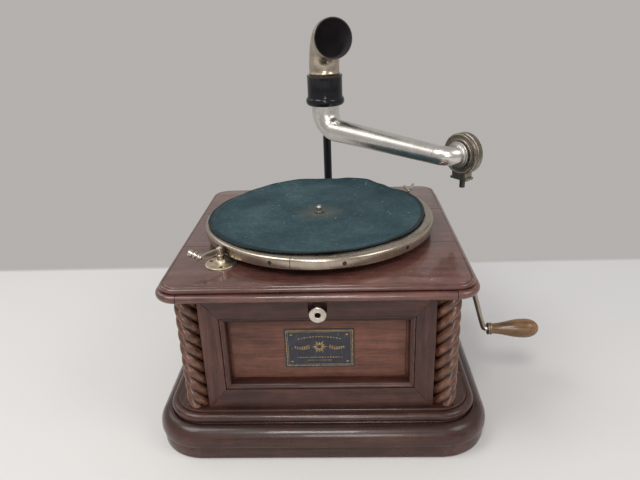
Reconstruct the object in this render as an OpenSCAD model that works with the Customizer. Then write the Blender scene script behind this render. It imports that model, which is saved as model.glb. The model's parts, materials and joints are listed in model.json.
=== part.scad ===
// Front-mount horn talking machine: moulded base, case with rope-twist corner
// columns, turntable, back bracket with horn elbow and tonearm, spring motor.
// Millimetres, +Z up, origin at the middle of the base on the table; -Y is the front.

/* [Base] */
// Reach of the base beyond the case at each side
base_side = 35; // [30:0.5:46]
// Reach of the base beyond the case at the front and the back
base_front = 25; // [20:0.5:38]
// Corner radius of the base in plan
base_corner = 52; // [49:1:56]
// Height of the plain skirt at the bottom
skirt_h = 14.4; // [8:0.2:24]
// How far the skirt stands back under the large moulding
skirt_inset = 2; // [0.5:0.5:5]
// Radius of the large rounded moulding
ovolo_r = 16; // [10:0.5:20]
// Upright face under that rounding
ovolo_face = 3.6; // [1:0.2:8]
// Radius of the bead above it
bead_r = 4.7; // [3:0.1:6]
// Distance from the base edge to the bead's centre
bead_inset = 18.2; // [16:0.2:20]
// Height of the thin cap that the case stands on
cap_h = 1.8; // [1:0.1:4]
// Distance from the base edge to the cap's edge
cap_inset = 21; // [20:0.5:23]
// Thickness of the bottom board
bottom_t = 12; // [6:0.5:16]

/* [Case] */
// Width of the case over the side frames
case_w = 275; // [265:1:285]
// Depth of the case over the front frame and the back board
case_d = 287; // [277:1:295]
// Height of the case walls
case_h = 126.3; // [120:0.5:160]
// Thickness of the frames and the back board
board_t = 16; // [12:0.5:18]
// Width of the upright frame members
stile_w = 18.9; // [14:0.5:26]
// Width of the level frame members
rail_w = 22.2; // [16:0.5:28]
// Width of the moulding round each panel
mould_w = 8.2; // [5:0.2:10]
// How far each panel lies behind the frame's face
panel_recess = 9.5; // [6:0.5:10]
// Thickness of the panels
panel_t = 5; // [3:0.5:6]
// Side of the square posts behind the corners
post_w = 18; // [14:0.5:20]
// Open joint between two wooden pieces
seam = 0.15; // [0.05:0.05:0.3]

/* [Corner columns] */
// Radius over the strands
column_r = 12.45; // [10:0.05:13]
// Distance from the case faces to the column's axis
column_inset = 11.6; // [10:0.1:13]
// Radius of one strand
strand_r = 6.3; // [5:0.1:8]
// Number of strands
strands = 4; // [3:1:5]
// Height in which a strand goes once round
strand_lead = 58.7; // [40:0.5:90]

/* [Top] */
// Reach of the top's rail beyond the case at each side
top_side = 16.5; // [13:0.5:22]
// Reach of the top's rail beyond the case at the front and the back
top_front = 11.5; // [9:0.5:17]
// Corner radius of the top in plan
top_corner = 24; // [20:1:28]
// Radius of the half-round rail
rail_r = 4.1; // [3:0.1:6]
// Thickness of the top board where it lies on the rail
lip_h = 5.9; // [5:0.1:9]
// Radius of the small bead along the board's edge
lip_bead_r = 2.6; // [1.5:0.1:2.9]
// Distance from the rail's face to the small bead's axis
lip_bead_inset = 7; // [6:0.2:8]
// Distance from the rail's face to the edge of the flat top
flat_inset = 8.7; // [8:0.1:10]
// Place of the front joint between the boards of the top
front_joint_y = -49.5; // [-80:0.5:-30]
// Place of the back joint between the boards of the top
back_joint_y = 54.5; // [30:0.5:80]

/* [Front fittings] */
// Width of the front plate
badge_w = 69; // [50:1:90]
// Gap between the lower moulding and the front plate
badge_gap_low = 12.6; // [8:0.1:20]
// Gap between the front plate and the upper moulding
badge_gap_high = 8.9; // [5:0.1:16]
// Thickness of the front plate
badge_t = 0.8; // [0.5:0.1:2]
// Sideways place of the front plate
badge_x = 1.2; // [-10:0.1:10]
// Radius of the round lock plate
disc_r = 8.3; // [6:0.1:10]
// Radius of its hole
disc_hole_r = 2.9; // [1.5:0.1:4]
// Thickness of the lock plate
disc_t = 1.6; // [1:0.1:3]
// Depth of the lock plate's middle below the top's rail
disc_drop = 18.7; // [14.3:0.2:26.3]
// Width of the lock mortise
mortise_w = 18; // [10:0.5:24]
// Depth of the lock mortise
mortise_depth = 6; // [3:0.5:10]

/* [Turntable] */
// Radius over the rim band
table_r = 127; // [115:1:130]
// Place of the turntable's axis, front to back
table_y = -4.6; // [-8:0.1:0]
// Height of the band's top above the top board
table_rise = 19.3; // [17:0.1:24]
// Height of the rim band
band_h = 11; // [8:0.2:13]
// Width of the band's flat top ring
band_top_w = 12; // [6:0.5:16]
// Thickness of the band's sheet
band_t = 1.5; // [1:0.1:2.5]
// Rounding of the band's top edge
band_round = 3; // [1.6:0.1:4]
// Thickness of the wooden platter
platter_t = 7.6; // [5:0.1:9]
// Radius of the platter's hub
hub_r = 19; // [14:0.5:24]
// Radius of the felt mat
mat_r = 121; // [110:1:123]
// Thickness of the felt mat
mat_t = 2.2; // [1:0.1:4]
// Radius of the spindle in its bearings
spindle_r = 4.2; // [4:0.05:4.5]
// Radius of the centre pin that a disc is placed on
pin_r = 3.5; // [3.4:0.05:3.6]
// Height of the centre pin above the mat
spindle_rise = 7; // [7:0.1:14]
// Number of screws round the band
band_screws = 11; // [6:1:12]
// Angle of the first screw
screw_turn = 20.8; // [0:0.1:30]

/* [Brake] */
// Distance from the rim band to the brake's pivot
brake_off = 5.64; // [5.6:0.02:7]
// Direction from the turntable's axis to the brake's pivot
brake_turn = 223.26; // [220:0.02:226]
// Radius of the round plate
brake_plate_r = 16; // [12:0.5:18]
// Thickness of the round plate
brake_plate_t = 1.6; // [1:0.1:2.5]
// Radius of the boss at the foot of the pivot
brake_boss_r = 7.2; // [5:0.1:8]
// Height of the boss
brake_boss_h = 4.4; // [3:0.1:5]
// Radius of the pivot post
brake_pin_r = 2; // [1.5:0.1:2.5]
// Thickness of the lever strip
brake_strip_t = 1.8; // [1.2:0.1:2.5]
// Height of the lever strip
brake_strip_h = 6.5; // [5:0.5:9]
// Distance from the pivot to the root of the handle
brake_reach = 22; // [16:0.5:24]
// Length of the turned handle
brake_handle_l = 14; // [12:0.5:18]
// Radius of the turned handle
brake_handle_r = 3.8; // [2.5:0.1:4.5]
// Thickness of the leather pad
brake_pad_t = 2; // [1:0.1:2.5]

/* [Regulator] */
// Distance from the case's side to the regulator
regulator_in_x = 25.5; // [25:0.5:32]
// Distance from the case's back to the regulator
regulator_in_y = 48.5; // [46:0.5:54]
// Radius of its stem
regulator_pin_r = 2.2; // [1.5:0.1:3]
// Height of the winged head's top above the board
regulator_rise = 19.5; // [14:0.5:26]
// Span of the winged head
wing_w = 17; // [10:0.5:22]

/* [Bracket] */
// Sideways place of the bracket, ring and tonearm pivot
bracket_x = 6; // [0:0.1:10]
// Distance from the case middle back to the ring's axis
ring_y = 172; // [168:0.5:180]
// Distance from the case middle back to the rod
rod_y = 200; // [198:0.5:206]
// Radius of the rod
rod_r = 5.65; // [4:0.05:6]
// Bend radius of the rod
rod_bend_r = 25; // [18:1:28]
// Height of the rod's lower end above the case bottom
rod_up = 58; // [50:1:75]
// Width of the foot plate
foot_w = 64; // [50:1:80]
// Height of the foot plate
foot_h = 84; // [60:1:96]
// Thickness of the foot plate
foot_t = 6; // [4:0.5:8]
// Height of the ring's lower edge
ring_z = 296.5; // [290:0.5:310]
// Height of the ring
ring_h = 39.5; // [34:0.5:46]
// Radius over the ring
ring_r = 23.4; // [22.6:0.1:25]
// Radius over the ring's lower bead
ring_bead_r = 25.9; // [25:0.1:27]
// Half height of the lower bead
bead_half = 5.7; // [3:0.1:7]

/* [Tonearm] */
// Height of the arm's axis
arm_z = 264.5; // [262:0.1:268]
// Angle of the arm as it stands, from straight right towards the front
arm_angle = 51.9; // [45:0.1:70]
// Length from the pivot to the sound box axis
arm_l = 220; // [200:1:225]
// Radius over the neck that turns in the ring
neck_r = 18.35; // [17:0.05:18.5]
// Radius of the retaining collar on the neck
collar_r = 19.3; // [19:0.05:19.5]
// Radius over the arm at the bend
arm_r1 = 14.9; // [13:0.1:16]
// Radius over the arm at its far end
arm_r2 = 10.7; // [9:0.1:11.5]
// Bend radius at the neck
neck_bend_r = 25; // [22:0.5:28]
// Bend radius of the far crook
crook_bend_r = 14; // [12.5:0.5:15]
// Wall of the tubes
tube_wall = 1.2; // [0.8:0.1:2]

/* [Sound box] */
// Radius of the sound box
box_r = 23; // [20:0.5:26]
// Thickness of the sound box
box_t = 13; // [10:0.5:16]
// Distance from the arm's axis to its back
box_off = 18.9; // [18:0.1:20]
// Radius of the collar on the crook
crook_collar_r = 14.5; // [12:0.5:16]
// Width of the block that carries the needle bar
block_w = 22; // [16:0.5:26]
// Distance from the sound box axis down to the block's lower face
block_drop = 29; // [27:0.5:32]
// Radius of the needle chuck
chuck_r = 3.1; // [2.5:0.1:4]
// Length of the needle chuck
chuck_l = 10.5; // [8:0.5:13]
// Radius of the needle hole
needle_r = 0.9; // [0.7:0.05:1.1]
// Depth of the needle hole
needle_depth = 9; // [6:0.5:9.5]

/* [Horn elbow] */
// Radius over the elbow where it stands in the ring
elbow_r = 19.9; // [19.7:0.05:20.1]
// Radius over the mouth
mouth_r = 25.2; // [22:0.1:28]
// Length of the straight mouth
mouth_l = 8; // [5:0.5:14]
// Bend radius of the elbow
elbow_bend_r = 36; // [32:1:42]
// Angle of the bend
elbow_bend = 84; // [70:1:90]
// Angle that the mouth is turned from the front to the right
elbow_turn = 19.5; // [0:0.5:30]
// Height of the straight part above the ring
elbow_rise = 10.4; // [6:0.2:16]

/* [Crank] */
// Distance from the top's underside down to the winding shaft
crank_drop = 66.5; // [63.5:0.5:71.5]
// Distance from the shaft to the grip
crank_l = 64.2; // [56:0.1:74]
// Angle of the arm below level, towards the front
crank_dip = 18.8; // [0:0.1:45]
// Radius of the bent arm
crank_rod_r = 2.9; // [2.4:0.1:3.4]
// Gap between the base and the arm
crank_gap = 4.9; // [3:0.1:8]
// Radius of the winding shaft
shaft_r = 5; // [4:0.1:6]
// Length of the wooden grip
grip_l = 56; // [40:1:70]
// Greatest radius of the grip
grip_r = 10.4; // [8:0.1:12]
// Radius of the grip's neck
grip_neck_r = 5.7; // [5:0.1:6.5]

/* [Motor] */
// Gap between the motor plates and the frame of the right side
motor_gap = 6.5; // [4:0.5:10]
// How far the barrel stands beyond the middle between the spindle and the plates' right edge
barrel_shift = 4.5; // [3:0.5:6]
// Radius of the spring barrel
barrel_r = 44; // [38:0.5:46]
// Height of the spring barrel
barrel_h = 30; // [24:0.5:31]
// Teeth of the great wheel
great_teeth = 96; // [92:4:100]
// Teeth of the pinion that it drives
second_pinion_teeth = 12; // [12:1:14]
// Teeth of the second wheel
second_teeth = 60; // [56:4:60]
// Teeth of the pinion on the turntable's spindle
spindle_teeth = 15; // [15:1:18]
// Tooth size of the train
train_module = 1; // [0.95:0.01:1.02]
// Teeth of the wheel that drives the governor
governor_wheel_teeth = 72; // [68:4:76]
// Teeth of the governor's pinion
governor_teeth = 9; // [9:1:10]
// Tooth size of the governor drive
governor_module = 0.75; // [0.7:0.01:0.76]
// Teeth of the crown wheel
crown_teeth = 36; // [32:4:36]
// Teeth of the winding pinion
winding_teeth = 12; // [12:1:12]
// Tooth size of the winding gears
winding_module = 1.5; // [1.4:0.01:1.52]
// Thickness of the motor plates
plate_t = 3; // [2:0.25:4]
// Gap between the top board and the upper motor plate
plate_drop = 8.5; // [8:0.5:10]
// Distance between the two motor plates
plate_gap = 73; // [72:0.5:76]

/* [Hidden] */
$fn = 96;
eps = 0.01;
// Radial clearance of a shaft that turns in a hole
running = 0.05;
// Clearance between pieces that move past each other
clear = 0.3;

// Sizes over the mouldings, from the case
base_w = case_w + 2 * base_side;
base_d = case_d + 2 * base_front;
top_w = case_w + 2 * top_side;
top_d = case_d + 2 * top_front;

// Levels
ovolo_h = ovolo_r + ovolo_face;
z_ovolo = skirt_h;
z_cap = z_ovolo + ovolo_h;
z_case = z_cap + 2 * bead_r + cap_h;
z_rail = z_case + case_h;
z_lip = z_rail + 2 * rail_r;
z_top = z_lip + lip_h;
z_band_top = z_top + table_rise;
z_band_low = z_band_top - band_h;
z_platter_top = z_band_top - band_t;
z_platter_low = z_platter_top - platter_t;
z_mat_top = z_band_top + mat_t;
z_spindle_top = z_mat_top + spindle_rise;
crank_z = z_rail - crank_drop;

// Column places and the pieces between the columns
column_x = case_w / 2 - column_inset;
column_y = case_d / 2 - column_inset;
frame_w = 2 * (column_x - column_r - 0.2);
side_w = 2 * (column_y - column_r - 0.2);
open_h = case_h - 2 * rail_w;
badge_h = open_h - 2 * mould_w - badge_gap_low - badge_gap_high;

wood_dark = [0.27, 0.17, 0.14];
wood_mid = [0.38, 0.24, 0.19];
wood_panel = [0.45, 0.27, 0.20];
nickel = [0.74, 0.70, 0.64];
brass = [0.72, 0.58, 0.32];
steel = [0.45, 0.45, 0.46];
enamel = [0.08, 0.08, 0.09];

// Strips along the four sides and a quarter round in each corner; the profile's x is measured from the
// corner's centre
module ring_strip(len, off) {
    translate([0, -off, 0]) rotate([90, 0, -90]) linear_extrude(len - seam, center = true) children();
}

module ring_corners(w, d, r) {
    for (sx = [-1, 1], sy = [-1, 1]) scale([sx, sy, 1]) translate([w / 2 - r + seam / 2, d / 2 - r + seam / 2, 0])
        rotate_extrude(angle = 90) children();
}

module moulded_ring(w, d, r) {
    for (turn = [0, 180]) rotate(turn) ring_strip(w - 2 * r, d / 2 - r) children();
    for (turn = [90, 270]) rotate(turn) ring_strip(d - 2 * r, w / 2 - r) children();
    ring_corners(w, d, r) children();
}

// Board with rounded corners
function corner_arc(x, y, r, start) = [for (i = [0 : 9]) [x + r * cos(start + 10 * i), y + r * sin(start + 10 * i)]];
module rounded_slab(w, d, r, h) {
    x = w / 2 - r;
    y = d / 2 - r;
    linear_extrude(h) polygon(concat(corner_arc(x, y, r, 0), corner_arc(-x, y, r, 90),
        corner_arc(-x, -y, r, 180), corner_arc(x, -y, r, 270)));
}

module slab(w, d, h) {
    translate([-w / 2, -d / 2, 0]) cube([w, d, h]);
}

// A cylinder along X from x0
module x_rod(x0, len, r) {
    translate([x0, 0, 0]) rotate([0, 90, 0]) cylinder(r = r, h = len);
}

// A cylinder along Y from y0
module y_rod(y0, len, r) {
    translate([0, y0, 0]) rotate([-90, 0, 0]) cylinder(r = r, h = len);
}

// Tube swept along points in a plane, with a direction and a radius at each point; across is the plane's normal
function ring_points(p, dir, across, r, n) = let (up = cross(across, dir))
    [for (i = [0 : n - 1]) p + r * (cos(360 * i / n) * across + sin(360 * i / n) * up)];

module tube(path, dirs, radii, wall, across, n) {
    m = len(path);
    loops = concat([for (k = [0 : m - 1]) each ring_points(path[k], dirs[k], across, radii[k], n)],
        [for (k = [m - 1 : -1 : 0]) each ring_points(path[k], dirs[k], across, radii[k] - wall, n)]);
    polyhedron(points = loops, faces = [for (k = [0 : 2 * m - 1], i = [0 : n - 1])
        let (a = k * n + i, b = k * n + (i + 1) % n, next = (k + 1) % (2 * m) * n, c = next + i, d = next + (i + 1) % n)
        each [[a, b, d], [a, d, c]]]);
}

// BASE

module base_skirt() {
    color(wood_dark) moulded_ring(base_w, base_d, base_corner)
        square([base_corner - skirt_inset, skirt_h]);
}

module ovolo_profile() {
    square([base_corner - ovolo_r, ovolo_h]);
    square([base_corner, ovolo_face]);
    translate([base_corner - ovolo_r, ovolo_face]) intersection() {
        circle(ovolo_r);
        square(ovolo_r);
    }
}

module base_moulding() {
    color(wood_dark) translate([0, 0, z_ovolo]) moulded_ring(base_w, base_d, base_corner) ovolo_profile();
}

module cap_profile() {
    square([base_corner - bead_inset, 2 * bead_r]);
    translate([base_corner - bead_inset, bead_r]) circle(bead_r);
    square([base_corner - cap_inset, 2 * bead_r + cap_h]);
}

module base_cap() {
    color(wood_dark) translate([0, 0, z_cap]) moulded_ring(base_w, base_d, base_corner) cap_profile();
}

module bottom_board() {
    color(wood_dark) slab(base_w - 2 * base_corner - seam, base_d - 2 * base_corner - seam, bottom_t);
}

// CASE

// A frame of two stiles and two rails with mitred corners, standing at y = 0 with its face to -Y
module frame(w) {
    half = w / 2;
    for (side = [-1, 1]) scale([side, 1, 1]) translate([seam / 2, board_t, 0]) rotate([90, 0, 0])
        linear_extrude(board_t) polygon([[half - seam / 2, 0], [half - seam / 2, case_h],
            [half - stile_w, case_h - rail_w], [half - stile_w, rail_w]]);
    for (flip = [0, 1]) translate([0, board_t, flip * case_h]) scale([1, 1, 1 - 2 * flip])
        rotate([90, 0, 0]) linear_extrude(board_t) polygon([[-half + seam, 0], [half - seam, 0],
            [half - stile_w - seam / 2, rail_w], [-half + stile_w + seam / 2, rail_w]]);
}

module front_frame() {
    color(wood_dark) difference() {
        translate([0, -case_d / 2, z_case]) frame(frame_w);
        translate([badge_x - mortise_w / 2, -case_d / 2 - eps, z_rail - disc_drop + disc_hole_r])
            cube([mortise_w, mortise_depth + eps, disc_r]);
        translate([badge_x, -case_d / 2 - eps, z_rail - disc_drop])
            y_rod(0, mortise_depth, disc_hole_r);
    }
}

module side_frames() {
    color(wood_dark) for (turn = [90, -90]) rotate(turn) translate([0, -case_w / 2, z_case]) frame(side_w);
}

// Quarter-round strip with mitred ends, running along X from z = 0 up, face to -Y
module mould_strip(len) {
    half = len / 2;
    intersection() {
        translate([-half, panel_recess, 0]) rotate([90, 0, 90]) linear_extrude(len) intersection() {
            circle(panel_recess);
            translate([-panel_recess, 0]) square([panel_recess, mould_w]);
        }
        translate([0, panel_recess, 0]) rotate([90, 0, 0]) linear_extrude(panel_recess)
            polygon([[-half, 0], [half, 0], [half - mould_w, mould_w], [-half + mould_w, mould_w]]);
    }
}

// Four strips round an opening of the given width
module mould_frame(w) {
    open_w = w - 2 * stile_w;
    for (flip = [0, 1]) translate([0, 0, rail_w + flip * open_h]) scale([1, 1, 1 - 2 * flip])
        mould_strip(open_w - 2 * seam);
    for (side = [-1, 1]) translate([side * open_w / 2, 0, rail_w + open_h / 2]) rotate([0, -side * 90, 0])
        mould_strip(open_h - 2 * seam);
}

module panel_mouldings() {
    color(wood_dark) {
        translate([0, -case_d / 2, z_case]) mould_frame(frame_w);
        for (turn = [90, -90]) rotate(turn) translate([0, -case_w / 2, z_case]) mould_frame(side_w);
    }
}

// Panel behind the mouldings, let into the frame's opening
module panel(w) {
    translate([-w / 2 + stile_w + seam, panel_recess, rail_w + seam])
        cube([w - 2 * stile_w - 2 * seam, panel_t, open_h - 2 * seam]);
}

module front_panel() {
    color(wood_panel) translate([0, -case_d / 2, z_case]) panel(frame_w);
}

module side_panels() {
    color(wood_panel) difference() {
        for (turn = [90, -90]) rotate(turn) translate([0, -case_w / 2, z_case]) panel(side_w);
        translate([0, 0, crank_z]) x_rod(0, case_w, escutcheon_tube_r + running);
    }
}

module back_board() {
    color(wood_dark) difference() {
        translate([-frame_w / 2, case_d / 2 - board_t, z_case]) cube([frame_w, board_t, case_h]);
        for (x = foot_screw_x, z = foot_screw_z)
            translate([bracket_x + x, case_d / 2 - screw_depth, z]) y_rod(0, screw_depth + eps, screw_r);
    }
}

// Square posts inside the corners, hollowed for the columns
module corner_posts() {
    color(wood_mid) for (sx = [-1, 1], sy = [-1, 1]) scale([sx, sy, 1]) difference() {
        translate([case_w / 2 - board_t - post_w, case_d / 2 - board_t - post_w, z_case])
            cube([post_w - seam, post_w - seam, case_h]);
        translate([column_x, column_y, z_case - 1]) cylinder(r = column_r + 0.2, h = case_h + 2);
    }
}

// COLUMNS

strand_d = column_r - strand_r;
points_per_strand = 8;
column_points = strands * points_per_strand;
function strand_radius(phi) = strand_d * cos(phi) + sqrt(strand_r * strand_r - pow(strand_d * sin(phi), 2));

// Rope-twist column; hand is 1 for strands that climb to the right, -1 to the left
module column(hand) {
    linear_extrude(case_h - 2 * seam, twist = -hand * 360 * case_h / strand_lead, slices = 48, $fn = 32)
        polygon([for (i = [0 : column_points - 1])
            let (a = 360 * i / column_points,
                 half = 180 / strands,
                 phi = abs((a + half) % (2 * half) - half))
            strand_radius(phi) * [cos(a), sin(a)]]);
}

module columns(sx, hand) {
    for (sy = [-1, 1]) translate([sx * column_x, sy * column_y, z_case + seam]) column(hand);
}

module columns_left() {
    color(wood_mid) columns(-1, -1);
}

module columns_right() {
    color(wood_mid) columns(1, 1);
}

// TOP

module rail_profile() {
    square([top_corner - rail_r, 2 * rail_r]);
    translate([top_corner - rail_r, rail_r]) circle(rail_r);
}

module rail_front() {
    color(wood_mid) translate([0, 0, z_rail])
        ring_strip(top_w - 2 * top_corner, top_d / 2 - top_corner) rail_profile();
}

module rail_sides() {
    color(wood_mid) translate([0, 0, z_rail]) {
        rotate(180) ring_strip(top_w - 2 * top_corner, top_d / 2 - top_corner) rail_profile();
        for (turn = [90, 270]) rotate(turn)
            ring_strip(top_d - 2 * top_corner, top_w / 2 - top_corner) rail_profile();
        ring_corners(top_w, top_d, top_corner) rail_profile();
    }
}

module whole_top() {
    lip_inset = lip_bead_inset - lip_bead_r;
    difference() {
        union() {
            translate([0, 0, z_rail]) slab(top_w - 2 * top_corner - 2 * seam, top_d - 2 * top_corner - 2 * seam,
                z_top - z_rail);
            translate([0, 0, z_lip]) rounded_slab(top_w - 2 * lip_inset, top_d - 2 * lip_inset,
                top_corner - lip_inset, 2 * lip_bead_r);
            translate([0, 0, z_lip]) rounded_slab(top_w - 2 * flat_inset, top_d - 2 * flat_inset,
                top_corner - flat_inset, lip_h);
        }
        translate([0, table_y, z_rail - 1]) cylinder(r = spindle_r + 3, h = z_top - z_rail + 2);
        translate([regulator_at[0], regulator_at[1], z_rail - 1])
            cylinder(r = regulator_pin_r + running, h = z_top - z_rail + 2);
        for (p = pillar_places) translate([p[0], p[1], z_rail - 1])
            cylinder(r = bolt_r + running, h = z_top - z_rail + 2);
    }
}

// The three boards of the top, with their joints across it
module top_board() {
    edges = [-top_d, front_joint_y, back_joint_y, top_d];
    color(wood_mid) for (i = [0 : 2]) intersection() {
        whole_top();
        translate([-top_w, edges[i] + seam / 2, z_rail - 1])
            cube([2 * top_w, edges[i + 1] - edges[i] - seam, z_top - z_rail + 2]);
    }
}

// FRONT FITTINGS

module badge_plate() {
    color(enamel) translate([badge_x - badge_w / 2, -case_d / 2 + panel_recess - badge_t,
        z_case + rail_w + mould_w + badge_gap_low]) cube([badge_w, badge_t, badge_h]);
}

module lock_plate() {
    color(nickel) translate([badge_x, -case_d / 2, z_rail - disc_drop]) difference() {
        y_rod(-disc_t, disc_t, disc_r);
        y_rod(-disc_t - 1, disc_t + 2, disc_hole_r);
    }
}

// BRACKET

screw_r = 2;
screw_depth = 12;
foot_z = z_case + rod_up;
foot_screw_x = [-foot_w / 2 + 8, foot_w / 2 - 8];
foot_screw_z = [foot_z - foot_h / 2 + 8, foot_z + foot_h / 2 - 8];
foot_boss_r = rod_r + 5;
foot_boss_l = 16;
boss_r = rod_r + 3.6;
boss_h = 24;
z_boss = ring_z + 4;
bore_step = 13.5;
z_ledge = ring_z + bore_step;
z_seat = z_ledge + 12;
z_ring_top = ring_z + ring_h;

module bracket_foot() {
    color(enamel) translate([bracket_x, case_d / 2, 0]) difference() {
        union() {
            translate([-foot_w / 2, 0, foot_z - foot_h / 2]) cube([foot_w, foot_t, foot_h]);
            translate([0, 0, foot_z]) y_rod(0, foot_t + foot_boss_l, foot_boss_r);
            for (up = [-1, 1]) translate([-2.5, foot_t - eps, foot_z]) scale([1, 1, up]) rotate([90, 0, 90])
                linear_extrude(5) polygon([[0, 0], [foot_boss_l, 0], [foot_boss_l, foot_boss_r], [0, foot_h / 2 - 2]]);
        }
        translate([0, foot_t, foot_z]) y_rod(0, foot_boss_l + 1, rod_r + running);
        for (x = foot_screw_x, z = foot_screw_z) translate([x, -1, z]) y_rod(0, foot_t + 2, screw_r + 0.2);
    }
}

module bracket_rod() {
    y0 = case_d / 2 + foot_t;
    z_end = z_boss + boss_h - 2.1;
    color(enamel) {
        translate([bracket_x, 0, foot_z]) y_rod(y0, rod_y - rod_bend_r - y0, rod_r);
        translate([bracket_x, rod_y - rod_bend_r, foot_z + rod_bend_r]) rotate([0, -90, 0]) rotate([0, 0, 0])
            rotate([0, 0, 180]) rotate_extrude(angle = -90) translate([rod_bend_r, 0]) circle(rod_r);
        translate([bracket_x, rod_y, foot_z + rod_bend_r])
            cylinder(r = rod_r, h = z_end - foot_z - rod_bend_r);
    }
}

module ring_outer() {
    cylinder(r = ring_r, h = ring_h);
    rotate_extrude() translate([ring_bead_r - bead_half, bead_half]) circle(bead_half);
    cylinder(r = ring_bead_r - bead_half, h = 2 * bead_half);
}

// Ring that the elbow stands in and the tonearm hangs from, with the boss that clamps it on the rod
module bracket_ring() {
    color(enamel) difference() {
        union() {
            translate([bracket_x, ring_y, ring_z]) ring_outer();
            translate([bracket_x, rod_y, z_boss]) cylinder(r = boss_r, h = boss_h);
            translate([bracket_x - boss_r, ring_y + neck_r + 2, z_boss])
                cube([2 * boss_r, rod_y - ring_y - neck_r - 2, boss_h]);
        }
        translate([bracket_x, ring_y, ring_z - 1]) cylinder(r = neck_r + running, h = ring_h + 2);
        translate([bracket_x, ring_y, z_ledge]) cylinder(r = collar_r + running, h = ring_h);
        translate([bracket_x, ring_y, z_seat]) cylinder(r = elbow_r + running, h = ring_h);
        translate([bracket_x, rod_y, ring_z - 1]) cylinder(r = rod_r + running, h = z_boss + boss_h - 1 - ring_z);
    }
}

module bracket_screws() {
    color(steel) for (x = foot_screw_x, z = foot_screw_z) translate([bracket_x + x, case_d / 2, z]) difference() {
        union() {
            y_rod(-screw_depth + 1, screw_depth - 1 + foot_t, screw_r - 0.05);
            y_rod(foot_t, 2.2, 2 * screw_r);
        }
        translate([-0.4, foot_t + 1.2, -3 * screw_r]) cube([0.8, 2, 6 * screw_r]);
    }
}

// TURNTABLE

module platter() {
    color([0.30, 0.15, 0.11]) translate([0, table_y, 0]) difference() {
        union() {
            translate([0, 0, z_platter_low])
                cylinder(r = table_r - band_t - running, h = platter_t);
            translate([0, 0, z_top + 2]) cylinder(r = hub_r, h = z_platter_low - z_top - 2 + eps);
        }
        translate([0, 0, z_top]) cylinder(r = spindle_r + running, h = table_rise);
        for (i = [0 : band_screws - 1]) rotate(360 * i / band_screws + screw_turn)
            translate([0, 0, z_band_screw]) x_rod(table_r - 9, 10, 1.2);
    }
}

z_band_screw = z_platter_low + platter_t / 2 - 0.6;
// Flat screw heads, let into the band
screw_head_r = 2.6;
screw_sunk = 0.8;

module band_profile() {
    difference() {
        union() {
            square([table_r, band_h - band_round]);
            square([table_r - band_round, band_h]);
            translate([table_r - band_round, band_h - band_round]) circle(band_round);
        }
        translate([-1, -1]) square([table_r - band_t + 1, band_h - band_t + 1]);
        translate([-1, 0]) square([table_r - band_top_w + 1, band_h + 1]);
    }
}

module rim_band() {
    color(nickel) translate([0, table_y, z_band_low]) difference() {
        rotate_extrude() band_profile();
        for (i = [0 : band_screws - 1]) rotate(360 * i / band_screws + screw_turn)
            translate([0, 0, z_band_screw - z_band_low]) {
                x_rod(table_r - 9, 12, 1.25);
                x_rod(table_r - screw_sunk - running, 3, screw_head_r + running);
            }
    }
}

module rim_screws() {
    color(steel) for (i = [0 : band_screws - 1]) translate([0, table_y, z_band_screw])
        rotate(360 * i / band_screws + screw_turn) difference() {
            union() {
                x_rod(table_r - 8, 8 - screw_sunk + eps, 1.15);
                x_rod(table_r - screw_sunk, screw_sunk, screw_head_r);
            }
            translate([table_r - screw_sunk / 2, -0.35, -4]) cube([1, 0.7, 8]);
        }
}

module mat() {
    color([0.16, 0.25, 0.27]) translate([0, table_y, 0]) difference() {
        union() {
            translate([0, 0, z_platter_top]) cylinder(r = table_r - band_top_w - 0.2, h = band_t + mat_t);
            translate([0, 0, z_band_top]) cylinder(r = mat_r, h = mat_t);
        }
        translate([0, 0, z_top]) cylinder(r = spindle_r + running, h = table_rise + 20);
    }
}

// MOTOR

module gear(z, m, h, bore, phase) {
    r = z * m / 2;
    pitch = 360 / z;
    r_root = r - 1.2 * m;
    r_tip = r + 0.8 * m;
    difference() {
        rotate(phase) linear_extrude(h) polygon([for (i = [0 : z - 1])
            let (a = i * pitch)
            each [r_root * [cos(a - 0.29 * pitch), sin(a - 0.29 * pitch)],
                  r_tip * [cos(a - 0.10 * pitch), sin(a - 0.10 * pitch)],
                  r_tip * [cos(a + 0.10 * pitch), sin(a + 0.10 * pitch)],
                  r_root * [cos(a + 0.29 * pitch), sin(a + 0.29 * pitch)]]]);
        translate([0, 0, -1]) cylinder(r = bore, h = h + 2);
    }
}

// Angle from one place to another in plan
function toward(a, b) = atan2(b[1] - a[1], b[0] - a[0]);
// Phase that puts a tooth towards the mate, and one that puts a gap there
function tooth_phase(a, b) = toward(a, b);
function gap_phase(a, b, z) = toward(a, b) + 180 / z;

spindle_at = [0, table_y];
plate_x1 = case_w / 2 - board_t - motor_gap;
barrel_x = plate_x1 / 2 + barrel_shift;
barrel_at = [barrel_x, 0];
great_pitch_r = great_teeth * train_module / 2;
second_pinion_r = second_pinion_teeth * train_module / 2;
second_pitch_r = second_teeth * train_module / 2;
spindle_pitch_r = spindle_teeth * train_module / 2;

// Second arbor: where both pitch distances meet, on the front side
link_a = great_pitch_r + second_pinion_r;
link_b = second_pitch_r + spindle_pitch_r;
link_c = norm(spindle_at - barrel_at);
link_along = (link_a * link_a - link_b * link_b + link_c * link_c) / (2 * link_c);
link_across = sqrt(link_a * link_a - link_along * link_along);
link_dir = (spindle_at - barrel_at) / link_c;
second_at = barrel_at + link_along * link_dir + link_across * [-link_dir[1], link_dir[0]];

governor_turn = 100;
governor_off = (governor_wheel_teeth + governor_teeth) * governor_module / 2;
governor_at = spindle_at + governor_off * [cos(governor_turn), sin(governor_turn)];

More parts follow.
